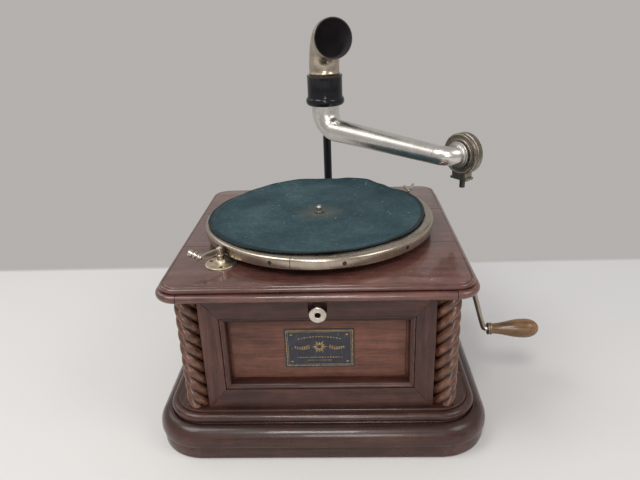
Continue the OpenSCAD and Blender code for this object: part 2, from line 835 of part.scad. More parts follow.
z_upper = z_rail - plate_drop - plate_t;
z_lower = z_upper - plate_gap - plate_t;
z_floor = z_lower + plate_t;
barrel_low = z_upper - 10 - barrel_h;
great_low = barrel_low + barrel_h + 0.5;
great_h = 4;
second_low = barrel_low - 10;
second_h = 4;
governor_low = z_floor + 11;
crown_r = crown_teeth * winding_module / 2;
pinion_r = winding_teeth * winding_module / 2;
z_crown = crank_z - pinion_r;
pinion_w = 4;
arbor_r = 5;
pivot_r = 2.5;
bolt_r = 2.5;
plate_x0 = -45;
plate_y0 = -58;
plate_y1 = 60;
pillar_places = [[plate_x0 + 9, plate_y0 + 12], [plate_x0 + 9, plate_y1 - 9],
    [plate_x1 - 9, plate_y0 + 9], [plate_x1 - 9, plate_y1 - 9]];
lug_x = barrel_x + crown_r + 10;
click_off = [-22, 14];
click_at = barrel_at + click_off;
ratchet_r = 14;
ratchet_teeth = 12;
z_ratchet = z_lower - 5;

module plate() {
    translate([plate_x0, plate_y0, 0]) cube([plate_x1 - plate_x0, plate_y1 - plate_y0, plate_t]);
}

module through(at, z0, h, r) {
    translate([at[0], at[1], z0]) cylinder(r = r + running, h = h);
}

// Upper and lower plate, the lower with the upright lug for the winding shaft
module motor_plates() {
    color(steel) difference() {
        union() {
            translate([0, 0, z_upper]) plate();
            translate([0, 0, z_lower]) plate();
            translate([lug_x, -shaft_r - 4, z_lower]) cube([6, 2 * shaft_r + 8, crank_z + shaft_r + 3 - z_lower]);
        }
        for (at = [second_at, governor_at]) through(at, z_lower - 1, plate_gap + 3 * plate_t, pivot_r);
        through(link_pivot, z_upper - 1, plate_t + 2, pivot_r);
        through(spindle_at, z_lower - 1, plate_gap + 3 * plate_t, spindle_r);
        through(barrel_at, z_lower - 1, plate_gap + 3 * plate_t, arbor_r);
        for (p = pillar_places) through(p, z_lower - 1, plate_gap + 3 * plate_t, bolt_r);
        through(click_at, z_lower - 1, plate_t + 2, pivot_r);
        translate([0, 0, crank_z]) x_rod(lug_x - 1, 8, shaft_r + running);
    }
}

// Through bolts with their heads on the top board, under the turntable, and their spacers
module motor_pillars() {
    color(steel) for (p = pillar_places) translate([p[0], p[1], 0]) {
        translate([0, 0, z_lower - 4]) cylinder(r = bolt_r, h = z_top - z_lower + 4 + eps);
        translate([0, 0, z_top]) cylinder(r1 = 5, r2 = 4, h = 2.4);
        translate([0, 0, z_lower - 4]) cylinder(r = 4.5, h = 4, $fn = 6);
        translate([0, 0, z_floor]) cylinder(r = 4, h = plate_gap);
        translate([0, 0, z_upper + plate_t]) cylinder(r = 4, h = plate_drop);
    }
}

// Spindle with its pinion, running in both plates; the pin above the mat is slimmer
pin_tip = 2;
module spindle() {
    color(nickel) translate([spindle_at[0], spindle_at[1], 0]) {
        translate([0, 0, z_lower]) cylinder(r = spindle_r, h = z_mat_top + 0.1 - z_lower);
        translate([0, 0, z_mat_top]) cylinder(r = pin_r, h = z_spindle_top - pin_tip - z_mat_top);
        translate([0, 0, z_spindle_top - pin_tip]) cylinder(r1 = pin_r, r2 = pin_r - 1.2, h = pin_tip);
        translate([0, 0, z_upper + plate_t + 0.2]) cylinder(r = spindle_r + 2, h = 2);
        translate([0, 0, second_low - 0.5])
            gear(spindle_teeth, train_module, second_h + 1, 0.5, gap_phase(spindle_at, second_at, spindle_teeth));
    }
}

module governor_wheel() {
    color(brass) translate([spindle_at[0], spindle_at[1], governor_low])
        gear(governor_wheel_teeth, governor_module, 3, spindle_r + running,
            tooth_phase(spindle_at, governor_at));
}

module second_wheel() {
    color(brass) translate([second_at[0], second_at[1], 0]) {
        translate([0, 0, z_lower]) cylinder(r = pivot_r, h = plate_gap + 2 * plate_t);
        translate([0, 0, z_floor + 0.2]) cylinder(r = pivot_r + 1.5, h = plate_gap - 0.4);
        translate([0, 0, second_low])
            gear(second_teeth, train_module, second_h, 1, tooth_phase(second_at, spindle_at));
        translate([0, 0, great_low - 1]) gear(second_pinion_teeth, train_module, great_h + 2, 1,
            gap_phase(second_at, barrel_at, second_pinion_teeth));
    }
}

// Barrel with the great wheel, turning on its arbor
module spring_barrel() {
    color(steel) translate([barrel_at[0], barrel_at[1], 0]) difference() {
        union() {
            translate([0, 0, barrel_low]) cylinder(r = barrel_r, h = barrel_h + 0.5);
            translate([0, 0, great_low])
                gear(great_teeth, train_module, great_h, 1, tooth_phase(barrel_at, second_at));
        }
        translate([0, 0, barrel_low + 2]) cylinder(r = barrel_r - 2, h = barrel_h - 4);
        translate([0, 0, barrel_low - 1]) cylinder(r = arbor_r + running, h = barrel_h + 10);
    }
}

module mainspring() {
    color(steel) translate([barrel_at[0], barrel_at[1], barrel_low + 3]) difference() {
        cylinder(r = barrel_r - 2, h = barrel_h - 6);
        translate([0, 0, -1]) cylinder(r = barrel_r * 0.45, h = barrel_h);
    }
}

// Arbor through the barrel, with its spring hub and the ratchet wheel under the plate
module barrel_arbor() {
    color(steel) translate([barrel_at[0], barrel_at[1], 0]) {
        translate([0, 0, z_ratchet - 1]) cylinder(r = arbor_r, h = z_upper + plate_t - z_ratchet + 1);
        translate([0, 0, barrel_low + 3]) cylinder(r = arbor_r + 5, h = barrel_h - 6);
        translate([0, 0, great_low + great_h + 0.3])
            cylinder(r = arbor_r + 2, h = z_upper - great_low - great_h - 0.6);
        translate([0, 0, z_ratchet]) linear_extrude(3) polygon([for (i = [0 : ratchet_teeth - 1])
            let (a = 360 * i / ratchet_teeth)
            each [ratchet_r * [cos(a), sin(a)],
                  (ratchet_r - 3) * [cos(a + 2), sin(a + 2)]]]);
    }
}

// Wheel with teeth on its upper face, which the winding pinion drives
module crown_wheel() {
    pitch = 360 / crown_teeth;
    arc = winding_module * PI;
    color(brass) translate([barrel_at[0], barrel_at[1], 0]) difference() {
        union() {
            translate([0, 0, z_floor + 0.4])
                cylinder(r = crown_r + pinion_w / 2, h = z_crown - 1.2 * winding_module - z_floor - 0.4);
            for (i = [0 : crown_teeth - 1]) rotate(pitch * (i + 0.5))
                translate([crown_r - pinion_w / 2, 0, z_crown - 1.2 * winding_module - eps])
                    rotate([90, 0, 90]) linear_extrude(pinion_w) polygon([[-0.26 * arc, 0], [0.26 * arc, 0],
                        [0.10 * arc, 2 * winding_module], [-0.10 * arc, 2 * winding_module]]);
        }
        translate([0, 0, z_floor]) cylinder(r = arbor_r + running, h = plate_gap);
    }
}

// Click that holds the ratchet wheel, hung under the lower plate on its own stud
module click() {
    color(steel) translate([click_at[0], click_at[1], 0]) {
        translate([0, 0, z_ratchet - 0.5]) cylinder(r = pivot_r, h = z_lower + plate_t - z_ratchet + 0.5);
        translate([0, 0, z_ratchet]) cylinder(r = pivot_r + 2, h = 3);
        rotate(toward(click_at, barrel_at + click_tip) ) translate([0, -1.5, z_ratchet])
            cube([norm(barrel_at + click_tip - click_at), 3, 3]);
    }
}
click_tip = [-(ratchet_r + 1.2) * cos(20), (ratchet_r + 1.2) * sin(20)];

// Governor shaft with its pinion, collars and the friction disc above the upper plate
disc_low = z_upper + plate_t + 1.2;
friction_r = 11;
module governor_shaft() {
    color(steel) translate([governor_at[0], governor_at[1], 0]) {
        translate([0, 0, z_lower]) cylinder(r = pivot_r, h = disc_low + 2 - z_lower);
        translate([0, 0, governor_low - 1]) gear(governor_teeth, governor_module, 5, 0.5,
            gap_phase(governor_at, spindle_at, governor_teeth));
        for (z = [collar_low, collar_low + leaf_l - 3]) translate([0, 0, z]) cylinder(r = 5, h = 4);
        translate([0, 0, disc_low]) cylinder(r = friction_r, h = 2);
    }
}
collar_low = governor_low + 10;
leaf_l = plate_gap - 36;

// Three weights on leaf springs between the collars
module governor_weights() {
    color(brass) translate([governor_at[0], governor_at[1], collar_low]) for (i = [0 : 2]) rotate(120 * i) {
        translate([5.1, -2, 0.5]) cube([0.8, 4, leaf_l]);
        translate([9, 0, leaf_l / 2 + 0.5]) rotate([0, 90, 0]) cylinder(r = 4.5, h = 6, center = true);
        translate([5.1, -1, leaf_l / 2 - 0.5]) cube([2, 2, 2]);
    }
}

// BRAKE

table_at = [0, table_y];
brake_at = table_at + (table_r + brake_off) * [cos(brake_turn), sin(brake_turn)];
// Direction from the pivot to the turntable's axis
brake_in = toward(brake_at, table_at);
brake_gap = norm(table_at - brake_at) - table_r - 2 * clear;
z_boss_top = z_top + brake_plate_t + brake_boss_h;
z_strip = z_boss_top + 4.8;
brake_hub_r = brake_pin_r + 1.6;

module brake_plate() {
    color(nickel) translate([brake_at[0], brake_at[1], z_top]) {
        cylinder(r = brake_plate_r, h = brake_plate_t);
        translate([0, 0, brake_plate_t]) cylinder(r1 = brake_boss_r, r2 = brake_boss_r - 3, h = brake_boss_h);
        cylinder(r = brake_pin_r, h = z_strip - z_top + brake_strip_h + 1.5);
    }
}

// Strip on edge over the pivot, from the pad to the handle's root
module brake_lever() {
    color(nickel) translate([brake_at[0], brake_at[1], z_strip]) rotate(brake_in) difference() {
        union() {
            translate([0, 0, z_boss_top + 0.2 - z_strip])
                cylinder(r = brake_hub_r, h = brake_strip_h + z_strip - z_boss_top - 0.2);
            translate([-brake_reach, -brake_strip_t / 2, 0])
                cube([brake_reach + brake_gap - brake_pad_t, brake_strip_t, brake_strip_h]);
            translate([brake_gap - brake_pad_t - 1, -2, 0]) cube([1, 4, brake_strip_h + 1]);
        }
        translate([0, 0, -5]) cylinder(r = brake_pin_r + running, h = brake_strip_h + 7);
    }
}

module brake_pad() {
    color([0.2, 0.13, 0.09]) translate([brake_at[0], brake_at[1], z_strip]) rotate(brake_in)
        difference() {
            translate([brake_gap - brake_pad_t, -1.6, -2]) cube([brake_pad_t, 3.2, brake_strip_h + 3]);
            translate([0, 0, -5]) cylinder(r = brake_hub_r + 0.02, h = brake_strip_h + 9);
        }
}

handle_turn = 165;
handle_rise = 20;
module brake_handle() {
    ring_l = (brake_handle_l - 3.8) / 3;
    root = brake_at + brake_reach * [-cos(brake_in), -sin(brake_in)];
    color(nickel) difference() {
        translate([root[0], root[1], z_strip + brake_strip_h / 2]) rotate([0, 90 - handle_rise, handle_turn]) {
            translate([0, 0, -1]) cylinder(r = brake_handle_r - 1.1, h = brake_handle_l - 2);
            for (i = [0 : 2]) translate([0, 0, i * (ring_l + 1)]) cylinder(r = brake_handle_r, h = ring_l);
            translate([0, 0, 3 * ring_l + 2 - eps]) cylinder(r1 = brake_handle_r, r2 = brake_handle_r - 1.8, h = 1.8);
        }
        translate([brake_at[0], brake_at[1], z_strip]) rotate(brake_in)
            translate([-brake_reach - 0.02, -brake_strip_t / 2 - 0.02, -0.02])
                cube([brake_reach, brake_strip_t + 0.04, brake_strip_h + 0.04]);
    }
}

// REGULATOR

link_z = z_upper + plate_t + 1.6;
link_t = 2;
eccentric = 6;
regulator_at = [case_w / 2 - regulator_in_x, case_d / 2 - regulator_in_y];
link_turn = toward(governor_at, regulator_at);
link_pivot = governor_at + 26 * [cos(link_turn), sin(link_turn)];
link_l = norm(regulator_at - link_pivot);

module regulator_plate() {
    color(nickel) translate([regulator_at[0], regulator_at[1], z_top]) difference() {
        cylinder(r = 9, h = 1.4);
        translate([0, 0, -1]) cylinder(r = regulator_pin_r + running, h = 4);
    }
}

// Stem with a winged head on top and an eccentric pin below the board
module regulator_knob() {
    color(nickel) translate([regulator_at[0], regulator_at[1], 0]) {
        translate([0, 0, z_rail - 2]) cylinder(r = regulator_pin_r, h = z_top - z_rail + 2 + regulator_rise - 8);
        translate([0, 0, z_top + 1.7]) cylinder(r = 5, h = 4);
        translate([0, 0, z_rail - 2.6]) cylinder(r = eccentric + 2, h = 2);
        rotate(link_turn + 180) translate([eccentric, 0, link_z]) cylinder(r = 1.5, h = z_rail - 1.6 - link_z);
        translate([0, 0, z_top + regulator_rise - 9]) rotate([90, 0, 30]) translate([0, 0, -0.8])
            linear_extrude(1.6) difference() {
                polygon([[-3, 0], [3, 0], [wing_w / 2, 9], [-wing_w / 2, 9]]);
                translate([0, 11]) circle(4.5);
            }
    }
}

// Flat lever from the eccentric pin to the pad beside the friction disc, turning on its stud
module regulator_link() {
    color(steel) translate([link_pivot[0], link_pivot[1], 0]) rotate(link_turn) difference() {
        union() {
            translate([0, -4, link_z]) cube([link_l - 14, 8, link_t]);
            translate([link_l - 15, -5, link_z]) cube([17, 10, link_t]);
            translate([-26, friction_r + 1.2, link_z - 0.6]) cube([8, 3, link_t + 0.6]);
            translate([-24, friction_r + 1.2, link_z]) cube([26, 4, link_t]);
            translate([-2, -4, link_z]) cube([5, friction_r + 9, link_t]);
            translate([0, 0, z_upper + 0.2]) cylinder(r = pivot_r, h = link_z + link_t + 1 - z_upper);
        }
        translate([link_l - eccentric - 3, -1.8, link_z - 1]) cube([6, 3.6, link_t + 2]);
    }
}

// CRANK

crank_x = base_w / 2 + crank_gap + crank_rod_r;
grip_bend_r = crank_rod_r + 0.5;
grip_x = crank_x + grip_bend_r + 0.3;
escutcheon_tube_r = shaft_r + 2;
panel_x = case_w / 2 - panel_recess;

module crank_escutcheon() {
    color(nickel) translate([0, 0, crank_z]) difference() {
        union() {
            x_rod(panel_x, 1.8, 14);
            x_rod(panel_x - panel_t, panel_t + 9, escutcheon_tube_r);
        }
        x_rod(panel_x - panel_t - 1, panel_t + 12, shaft_r + running);
    }
}

// Winding shaft, bent arm and the pin that the grip turns on
module crank_arm() {
    shaft_end = barrel_x + crown_r - pinion_w / 2 - 1;
    color(nickel) translate([0, 0, crank_z]) {
        x_rod(shaft_end, crank_x + crank_rod_r + 0.5 - shaft_end, shaft_r);
        rotate([crank_dip, 0, 0]) {
            translate([crank_x, 0, 0]) y_rod(-crank_l + grip_bend_r, crank_l - grip_bend_r, crank_rod_r);
            translate([crank_x + grip_bend_r, -crank_l + grip_bend_r, 0]) rotate(180)
                rotate_extrude(angle = 90) translate([grip_bend_r, 0]) circle(crank_rod_r);
            translate([0, -crank_l, 0]) x_rod(crank_x + grip_bend_r, grip_l - 3.1, crank_rod_r);
        }
    }
}

module winding_pinion() {
    color(brass) translate([barrel_x + crown_r - pinion_w / 2, 0, crank_z]) rotate([0, 90, 0])
        gear(winding_teeth, winding_module, pinion_w, shaft_r + running, 0);
}

// Places a piece on the grip's axis, which runs along X
module on_grip() {
    translate([grip_x, 0, crank_z]) rotate([crank_dip, 0, 0]) translate([0, -crank_l, 0]) rotate([0, 90, 0])
        children();
}

ferrule_l = 4.5;
module grip_ferrule() {
    color(nickel) on_grip() difference() {
        cylinder(r = grip_neck_r + 1.1, h = ferrule_l);
        translate([0, 0, -1]) cylinder(r = crank_rod_r + running, h = ferrule_l + 2);
    }
}

// Turned grip: slim neck, swelling to a rounded end
function grip_radius(t) = grip_neck_r + (grip_r - grip_neck_r) * (1 - cos(180 * min(t / 0.66, 1))) / 2;
module crank_grip() {
    body_l = grip_l - ferrule_l;
    end_start = 0.72;
    n = 12;
    color([0.54, 0.40, 0.27]) on_grip() translate([0, 0, ferrule_l]) difference() {
        rotate_extrude() polygon(concat([[0, 0]],
            [for (i = [0 : n]) let (t = end_start * i / n) [grip_radius(t), t * body_l]],
            [for (a = [6 : 6 : 84]) [grip_r * cos(a), body_l * (end_start + (1 - end_start) * sin(a))]],
            [[0, body_l]]));
        translate([0, 0, -1]) cylinder(r = crank_rod_r + running, h = body_l - 2);
    }
}

// TONEARM: drawn with its pivot at the origin and the arm along +X, then placed

module on_arm() {
    translate([bracket_x, ring_y, arm_z]) rotate(-arm_angle) children();
}

neck_top = z_seat - 1.2 - arm_z;
module tonearm_neck() {
    color(nickel) on_arm() difference() {
        union() {
            translate([0, 0, neck_bend_r]) cylinder(r = neck_r, h = neck_top - neck_bend_r);
            translate([0, 0, z_ledge + 0.2 - arm_z]) cylinder(r = collar_r, h = 3);
        }
        translate([0, 0, neck_bend_r - 1]) cylinder(r = neck_r - tube_wall, h = neck_top);
    }
}

// Points and directions of a quarter bend from straight down to +X
function bend_path(r, n) = [for (i = [0 : n]) let (a = 90 * i / n) [r - r * cos(a), 0, r - r * sin(a)]];
function bend_dirs(n) = [for (i = [0 : n]) let (a = 90 * i / n) [sin(a), 0, -cos(a)]];
function bend_radii(r1, r2, n) = [for (i = [0 : n]) r1 + (r2 - r1) * (1 - cos(180 * i / n)) / 2];

module tonearm_bend() {
    n = 12;
    color(nickel) on_arm()
        tube(bend_path(neck_bend_r, n), bend_dirs(n), bend_radii(neck_r, arm_r1, n), tube_wall, [0, 1, 0], 40);
}

module tonearm_tube() {
    tube_l = arm_l - crook_bend_r - neck_bend_r;
    color(nickel) on_arm() translate([neck_bend_r, 0, 0]) rotate([0, 90, 0]) difference() {
        cylinder(r1 = arm_r1, r2 = arm_r2, h = tube_l);
        translate([0, 0, -eps]) cylinder(r1 = arm_r1 - tube_wall, r2 = arm_r2 - tube_wall, h = tube_l + 2 * eps);
    }
}

socket_r = arm_r2 - tube_wall;
module tonearm_crook() {
    color(nickel) on_arm() translate([arm_l, 0, 0]) difference() {
        union() {
            translate([-crook_bend_r, crook_bend_r, 0]) rotate(-90) rotate_extrude(angle = 90)
                translate([crook_bend_r, 0]) circle(arm_r2);
            y_rod(crook_bend_r, box_off - clear - crook_bend_r, crook_collar_r);
        }
        translate([-crook_bend_r, crook_bend_r, 0]) rotate(-92) rotate_extrude(angle = 93)
            translate([crook_bend_r, 0]) circle(socket_r - 1);
        y_rod(crook_bend_r + 0.2, box_off, socket_r);
    }
}

// SOUND BOX: in the arm's frame, turning on the socket's axis

module on_box() {
    on_arm() translate([arm_l, 0, 0]) children();
}

housing_wall = 3.2;
back_t = 2.6;
gasket_y = box_off + 7;
gasket_t = 1.5;
film_t = 0.5;
chuck_y = box_off + box_t / 2 + 1.6;

module soundbox_case() {
    color(nickel) on_box() difference() {
        union() {
            y_rod(box_off, box_t, box_r);
            y_rod(crook_bend_r + 0.4, box_off - crook_bend_r, socket_r - running);
            translate([-block_w / 2 + 1.5, box_off, -block_drop + 2.4]) cube([block_w - 3, box_t, block_drop - 12]);
            translate([-block_w / 2, box_off, -block_drop]) cube([block_w, box_t, 2.5]);
        }
        y_rod(box_off + back_t, box_t, box_r - housing_wall);
        y_rod(crook_bend_r, box_off, socket_r - running - 2);
    }
}

module soundbox_gaskets() {
    color([0.1, 0.1, 0.1]) on_box() for (y = [gasket_y, gasket_y + gasket_t + film_t]) difference() {
        y_rod(y, gasket_t, box_r - housing_wall - eps);
        y_rod(y - 1, gasket_t + 2, box_r - housing_wall - 3);
    }
}

module diaphragm() {
    color([0.8, 0.78, 0.7]) on_box() y_rod(gasket_y + gasket_t, film_t, box_r - housing_wall - 0.6);
}

// Bar from the middle of the diaphragm down past the block, with the needle chuck below it
module needle_bar() {
    bar_y = box_off + box_t + 0.5;
    film_y = gasket_y + gasket_t + film_t;
    color(steel) on_box() difference() {
        union() {
            translate([-1, bar_y, -block_drop - foot_plate_t]) cube([2, 2, block_drop + foot_plate_t + 1]);
            y_rod(film_y, bar_y + 2 - film_y, 1.2);
            y_rod(bar_y + 1.5, 1.2, 2.4);
            translate([-1, chuck_y, -block_drop - foot_plate_t]) cube([2, bar_y + 2 - chuck_y, foot_plate_t]);
            translate([0, chuck_y, -block_drop - chuck_l]) cylinder(r = chuck_r, h = chuck_l);
        }
        translate([0, chuck_y, -block_drop - chuck_l - 1]) cylinder(r = needle_r, h = needle_depth + 1);
        translate([0, 0, -screw_drop]) y_rod(chuck_y, chuck_r + 1, 1.2 + running);
    }
}
foot_plate_t = 1.2;
screw_drop = block_drop + foot_plate_t + 2.2;

module needle_screw() {
    color(nickel) on_box() translate([0, 0, -screw_drop]) {
        y_rod(chuck_y + needle_r + 0.3, chuck_r, 1.2);
        y_rod(chuck_y + chuck_r + clear, 2, 1.8);
        y_rod(chuck_y + chuck_r + clear + 1.4, 3.2, 2.1);
    }
}

// HORN ELBOW: drawn bending towards -Y, then turned

function elbow_path(n) = [for (i = [0 : n]) let (a = elbow_bend * i / n)
    [0, -elbow_bend_r * (1 - cos(a)), elbow_bend_r * sin(a)]];
function elbow_dirs(n) = [for (i = [0 : n]) let (a = elbow_bend * i / n) [0, -sin(a), cos(a)]];
// The flare starts slowly and opens near the mouth
function elbow_radii(r1, r2, n) = [for (i = [0 : n]) r1 + (r2 - r1) * pow(i / n, 2.4)];
z_elbow = z_ring_top + elbow_rise;

// Bent and flaring part
module elbow_middle(n) {
    tube(elbow_path(n), elbow_dirs(n), elbow_radii(elbow_r, mouth_r, n), tube_wall, [1, 0, 0], 40);
}

module hollow(r, h) {
    difference() {
        cylinder(r = r, h = h);
        translate([0, 0, -1]) cylinder(r = r - tube_wall, h = h + 2);
    }
}

module at_mouth() {
    end = elbow_path(1)[1];
    translate(end) rotate([elbow_bend, 0, 0]) children();
}

module on_elbow() {
    color(brass) translate([bracket_x, ring_y, z_elbow]) rotate(elbow_turn) children();
}

module elbow_neck() {
    on_elbow() translate([0, 0, z_seat + 0.2 - z_elbow]) hollow(elbow_r, z_elbow - z_seat - 0.25);
}

module horn_elbow() {
    on_elbow() elbow_middle(12);
}

module elbow_mouth() {
    on_elbow() at_mouth() translate([0, 0, 0.05]) hollow(mouth_r, mouth_l - 0.05);
}

base_skirt();
base_moulding();
base_cap();
bottom_board();
front_frame();
panel_mouldings();
front_panel();
side_frames();
side_panels();
back_board();
corner_posts();
columns_left();
columns_right();
rail_front();
rail_sides();
top_board();
badge_plate();
lock_plate();
crank_escutcheon();
bracket_foot();
bracket_rod();
bracket_ring();
bracket_screws();
brake_plate();
regulator_plate();
motor_plates();
motor_pillars();
platter();
rim_band();
rim_screws();
mat();
spindle();
governor_wheel();
brake_lever();
brake_handle();
brake_pad();
regulator_knob();
regulator_link();
crank_arm();
winding_pinion();
crank_grip();
grip_ferrule();
spring_barrel();
mainspring();
barrel_arbor();
crown_wheel();
click();
second_wheel();
governor_shaft();
governor_weights();
tonearm_neck();
tonearm_bend();
tonearm_tube();
tonearm_crook();
soundbox_case();
soundbox_gaskets();
diaphragm();
needle_bar();
needle_screw();
elbow_neck();
horn_elbow();
elbow_mouth();
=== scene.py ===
import json
import math

import bmesh
import bpy
from mathutils import Matrix, Vector, noise

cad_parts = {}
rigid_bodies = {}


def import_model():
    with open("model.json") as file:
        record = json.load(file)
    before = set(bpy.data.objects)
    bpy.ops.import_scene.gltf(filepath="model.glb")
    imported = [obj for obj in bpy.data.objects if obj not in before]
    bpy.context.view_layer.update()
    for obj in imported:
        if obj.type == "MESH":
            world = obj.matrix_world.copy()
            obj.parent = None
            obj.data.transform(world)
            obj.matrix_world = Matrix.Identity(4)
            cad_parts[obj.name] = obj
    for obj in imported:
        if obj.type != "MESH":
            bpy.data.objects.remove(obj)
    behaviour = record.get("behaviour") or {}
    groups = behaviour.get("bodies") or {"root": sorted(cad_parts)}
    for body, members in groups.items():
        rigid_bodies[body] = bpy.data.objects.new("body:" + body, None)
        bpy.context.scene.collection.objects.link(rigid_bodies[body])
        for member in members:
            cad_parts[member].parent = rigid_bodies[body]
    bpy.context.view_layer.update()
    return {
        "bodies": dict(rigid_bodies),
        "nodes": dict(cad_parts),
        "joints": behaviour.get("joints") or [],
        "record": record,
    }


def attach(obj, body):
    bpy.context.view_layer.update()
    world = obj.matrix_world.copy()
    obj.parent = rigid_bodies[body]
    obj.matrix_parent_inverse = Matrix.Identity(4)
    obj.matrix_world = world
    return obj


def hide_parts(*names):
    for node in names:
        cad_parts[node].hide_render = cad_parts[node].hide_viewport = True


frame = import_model()
cad = frame["nodes"]
print("frame loaded:", len(cad), "nodes")

# sizes below are millimetres and degrees; a mesh goes to metres when its piece is made
turn = math.radians
moved = Matrix.Translation


def spinBy(degrees, axis):
    return Matrix.Rotation(turn(degrees), 4, axis)


def linked(name, data):
    obj = bpy.data.objects.new(name, data)
    bpy.context.scene.collection.objects.link(obj)
    return obj


# short ways to add nodes to a tree and to join them
class Nodes:
    def __init__(self, tree):
        self.tree = tree

    def add(self, kind, **props):
        node = self.tree.nodes.new(kind)
        for key, value in props.items():
            setattr(node, key, value)
        return node

    def put(self, socket, value):
        if hasattr(value, "is_output"):
            self.tree.links.new(value, socket)
        else:
            if isinstance(value, (tuple, list)) and len(value) == 3 and socket.type == "RGBA":
                value = (*value, 1)
            socket.default_value = value

    def calc(self, kind, a, b=0.0):
        node = self.add("ShaderNodeMath", operation=kind)
        self.put(node.inputs[0], a)
        self.put(node.inputs[1], b)
        return node.outputs[0]

    def axes(self, vector):
        node = self.add("ShaderNodeSeparateXYZ")
        self.put(node.inputs[0], vector)
        return node.outputs

    def point(self, **parts):
        node = self.add("ShaderNodeCombineXYZ")
        for axis, value in parts.items():
            self.put(node.inputs[axis], value)
        return node.outputs[0]

    def lit(self, kind, colour, strength=1.0):
        node = self.add("ShaderNode" + kind)
        self.put(node.inputs[0], colour)
        self.put(node.inputs[1], strength)
        return node.outputs[0]

    def blended(self, fac, a, b):
        node = self.add("ShaderNodeMixShader")
        for socket, value in zip(node.inputs, (fac, a, b)):
            self.put(socket, value)
        return node.outputs[0]


# a material on one shader, its patterns on the object's own coordinates
class Finish(Nodes):
    def __init__(self, name):
        self.mat = bpy.data.materials.new(name)
        self.mat.use_nodes = True
        super().__init__(self.mat.node_tree)
        self.tree.nodes.clear()
        self.output = self.add("ShaderNodeOutputMaterial")
        self.shader = self.add("ShaderNodeBsdfPrincipled")
        self.put(self.output.inputs[0], self.shader.outputs[0])
        self.coords = self.add("ShaderNodeTexCoord").outputs["Object"]

    def mapped(self, scale=(1, 1, 1), place=(0, 0, 0), tilt=(0, 0, 0)):
        node = self.add("ShaderNodeMapping")
        self.put(node.inputs["Vector"], self.coords)
        self.put(node.inputs["Scale"], scale)
        self.put(node.inputs["Location"], place)
        self.put(node.inputs["Rotation"], tilt)
        return node.outputs[0]

    def noise(self, vector, scale, detail=4.0, rough=0.5, warp=0.0):
        node = self.add("ShaderNodeTexNoise")
        self.put(node.inputs["Vector"], vector)
        self.put(node.inputs["Scale"], scale)
        self.put(node.inputs["Detail"], detail)
        self.put(node.inputs["Roughness"], rough)
        self.put(node.inputs["Distortion"], warp)
        return node.outputs[0]

    def cells(self, vector, scale):
        node = self.add("ShaderNodeTexVoronoi", feature="F1")
        self.put(node.inputs["Vector"], vector)
        self.put(node.inputs["Scale"], scale)
        return node.outputs["Distance"]

    def ramp(self, fac, stops):
        node = self.add("ShaderNodeValToRGB")
        self.put(node.inputs[0], fac)
        bar = node.color_ramp
        while len(bar.elements) < len(stops):
            bar.elements.new(0.5)
        for element, (place, colour) in zip(bar.elements, stops):
            element.position = place
            element.color = (*colour, 1) if isinstance(colour, (tuple, list)) else (colour,) * 3 + (1,)
        return node.outputs[0]

    def clouds(self, scale, detail, rough, stops):
        return self.ramp(self.noise(self.mapped(), scale, detail, rough), stops)

    def mix(self, fac, a, b, blend="MIX"):
        node = self.add("ShaderNodeMix", data_type="RGBA", blend_type=blend)
        self.put(node.inputs[0], fac)
        self.put(node.inputs[6], a)
        self.put(node.inputs[7], b)
        return node.outputs[2]

    def worn(self):
        return self.add("ShaderNodeAttribute", attribute_name="edge").outputs["Fac"]

    def bump(self, height, strength, distance, before=None):
        node = self.add("ShaderNodeBump")
        self.put(node.inputs["Height"], height)
        self.put(node.inputs["Strength"], strength)
        self.put(node.inputs["Distance"], distance)
        if before is not None:
            self.put(node.inputs["Normal"], before)
        return node.outputs[0]

    def done(self, colour, rough, metal=0.0, normal=None, coat=0.0, coatRough=0.1, sheen=0.0, level=0.5):
        self.put(self.shader.inputs["Base Color"], colour)
        self.put(self.shader.inputs["Roughness"], rough)
        self.shader.inputs["Metallic"].default_value = metal
        self.shader.inputs["Coat Weight"].default_value = coat
        self.shader.inputs["Coat Roughness"].default_value = coatRough
        self.shader.inputs["Sheen Weight"].default_value = sheen
        self.shader.inputs["Specular IOR Level"].default_value = level
        if normal is not None:
            self.put(self.shader.inputs["Normal"], normal)
        return self.mat


# tones, gloss and coat of each wood, how far its edges are rubbed, and how dark its grooves are from dirt and
# painted shade
woodTones = dict(
    base=dict(dark=(0.032, 0.012, 0.009), mid=(0.060, 0.023, 0.017), light=(0.092, 0.038, 0.028), gloss=0.27,
              coat=0.30, rub=0.35, grooveDirtAndShade=0.9),
    case=dict(dark=(0.040, 0.016, 0.012), mid=(0.078, 0.030, 0.023), light=(0.118, 0.050, 0.038), gloss=0.38,
              coat=0.15, rub=0.6, grooveDirtAndShade=0.85),
    panel=dict(dark=(0.098, 0.037, 0.024), mid=(0.156, 0.059, 0.038), light=(0.205, 0.084, 0.055), gloss=0.40,
               coat=0.10, rub=0.6, grooveDirtAndShade=0.85),
    column=dict(dark=(0.036, 0.014, 0.009), mid=(0.090, 0.037, 0.022), light=(0.168, 0.074, 0.043),
                gloss=0.30, coat=0.40, rub=0.8, grooveDirtAndShade=1.0),
    top=dict(dark=(0.074, 0.029, 0.023), mid=(0.120, 0.048, 0.038), light=(0.162, 0.070, 0.056), gloss=0.28,
             coat=0.75, rub=0.20, grooveDirtAndShade=0.9),
    platter=dict(dark=(0.026, 0.009, 0.007), mid=(0.060, 0.019, 0.014), light=(0.085, 0.033, 0.023),
                 gloss=0.55, coat=0.0, rub=0.6, grooveDirtAndShade=0.6),
    grip=dict(dark=(0.085, 0.038, 0.014), mid=(0.195, 0.100, 0.040), light=(0.320, 0.180, 0.080), gloss=0.24,
              coat=0.30, rub=0.3, grooveDirtAndShade=0.6),
)
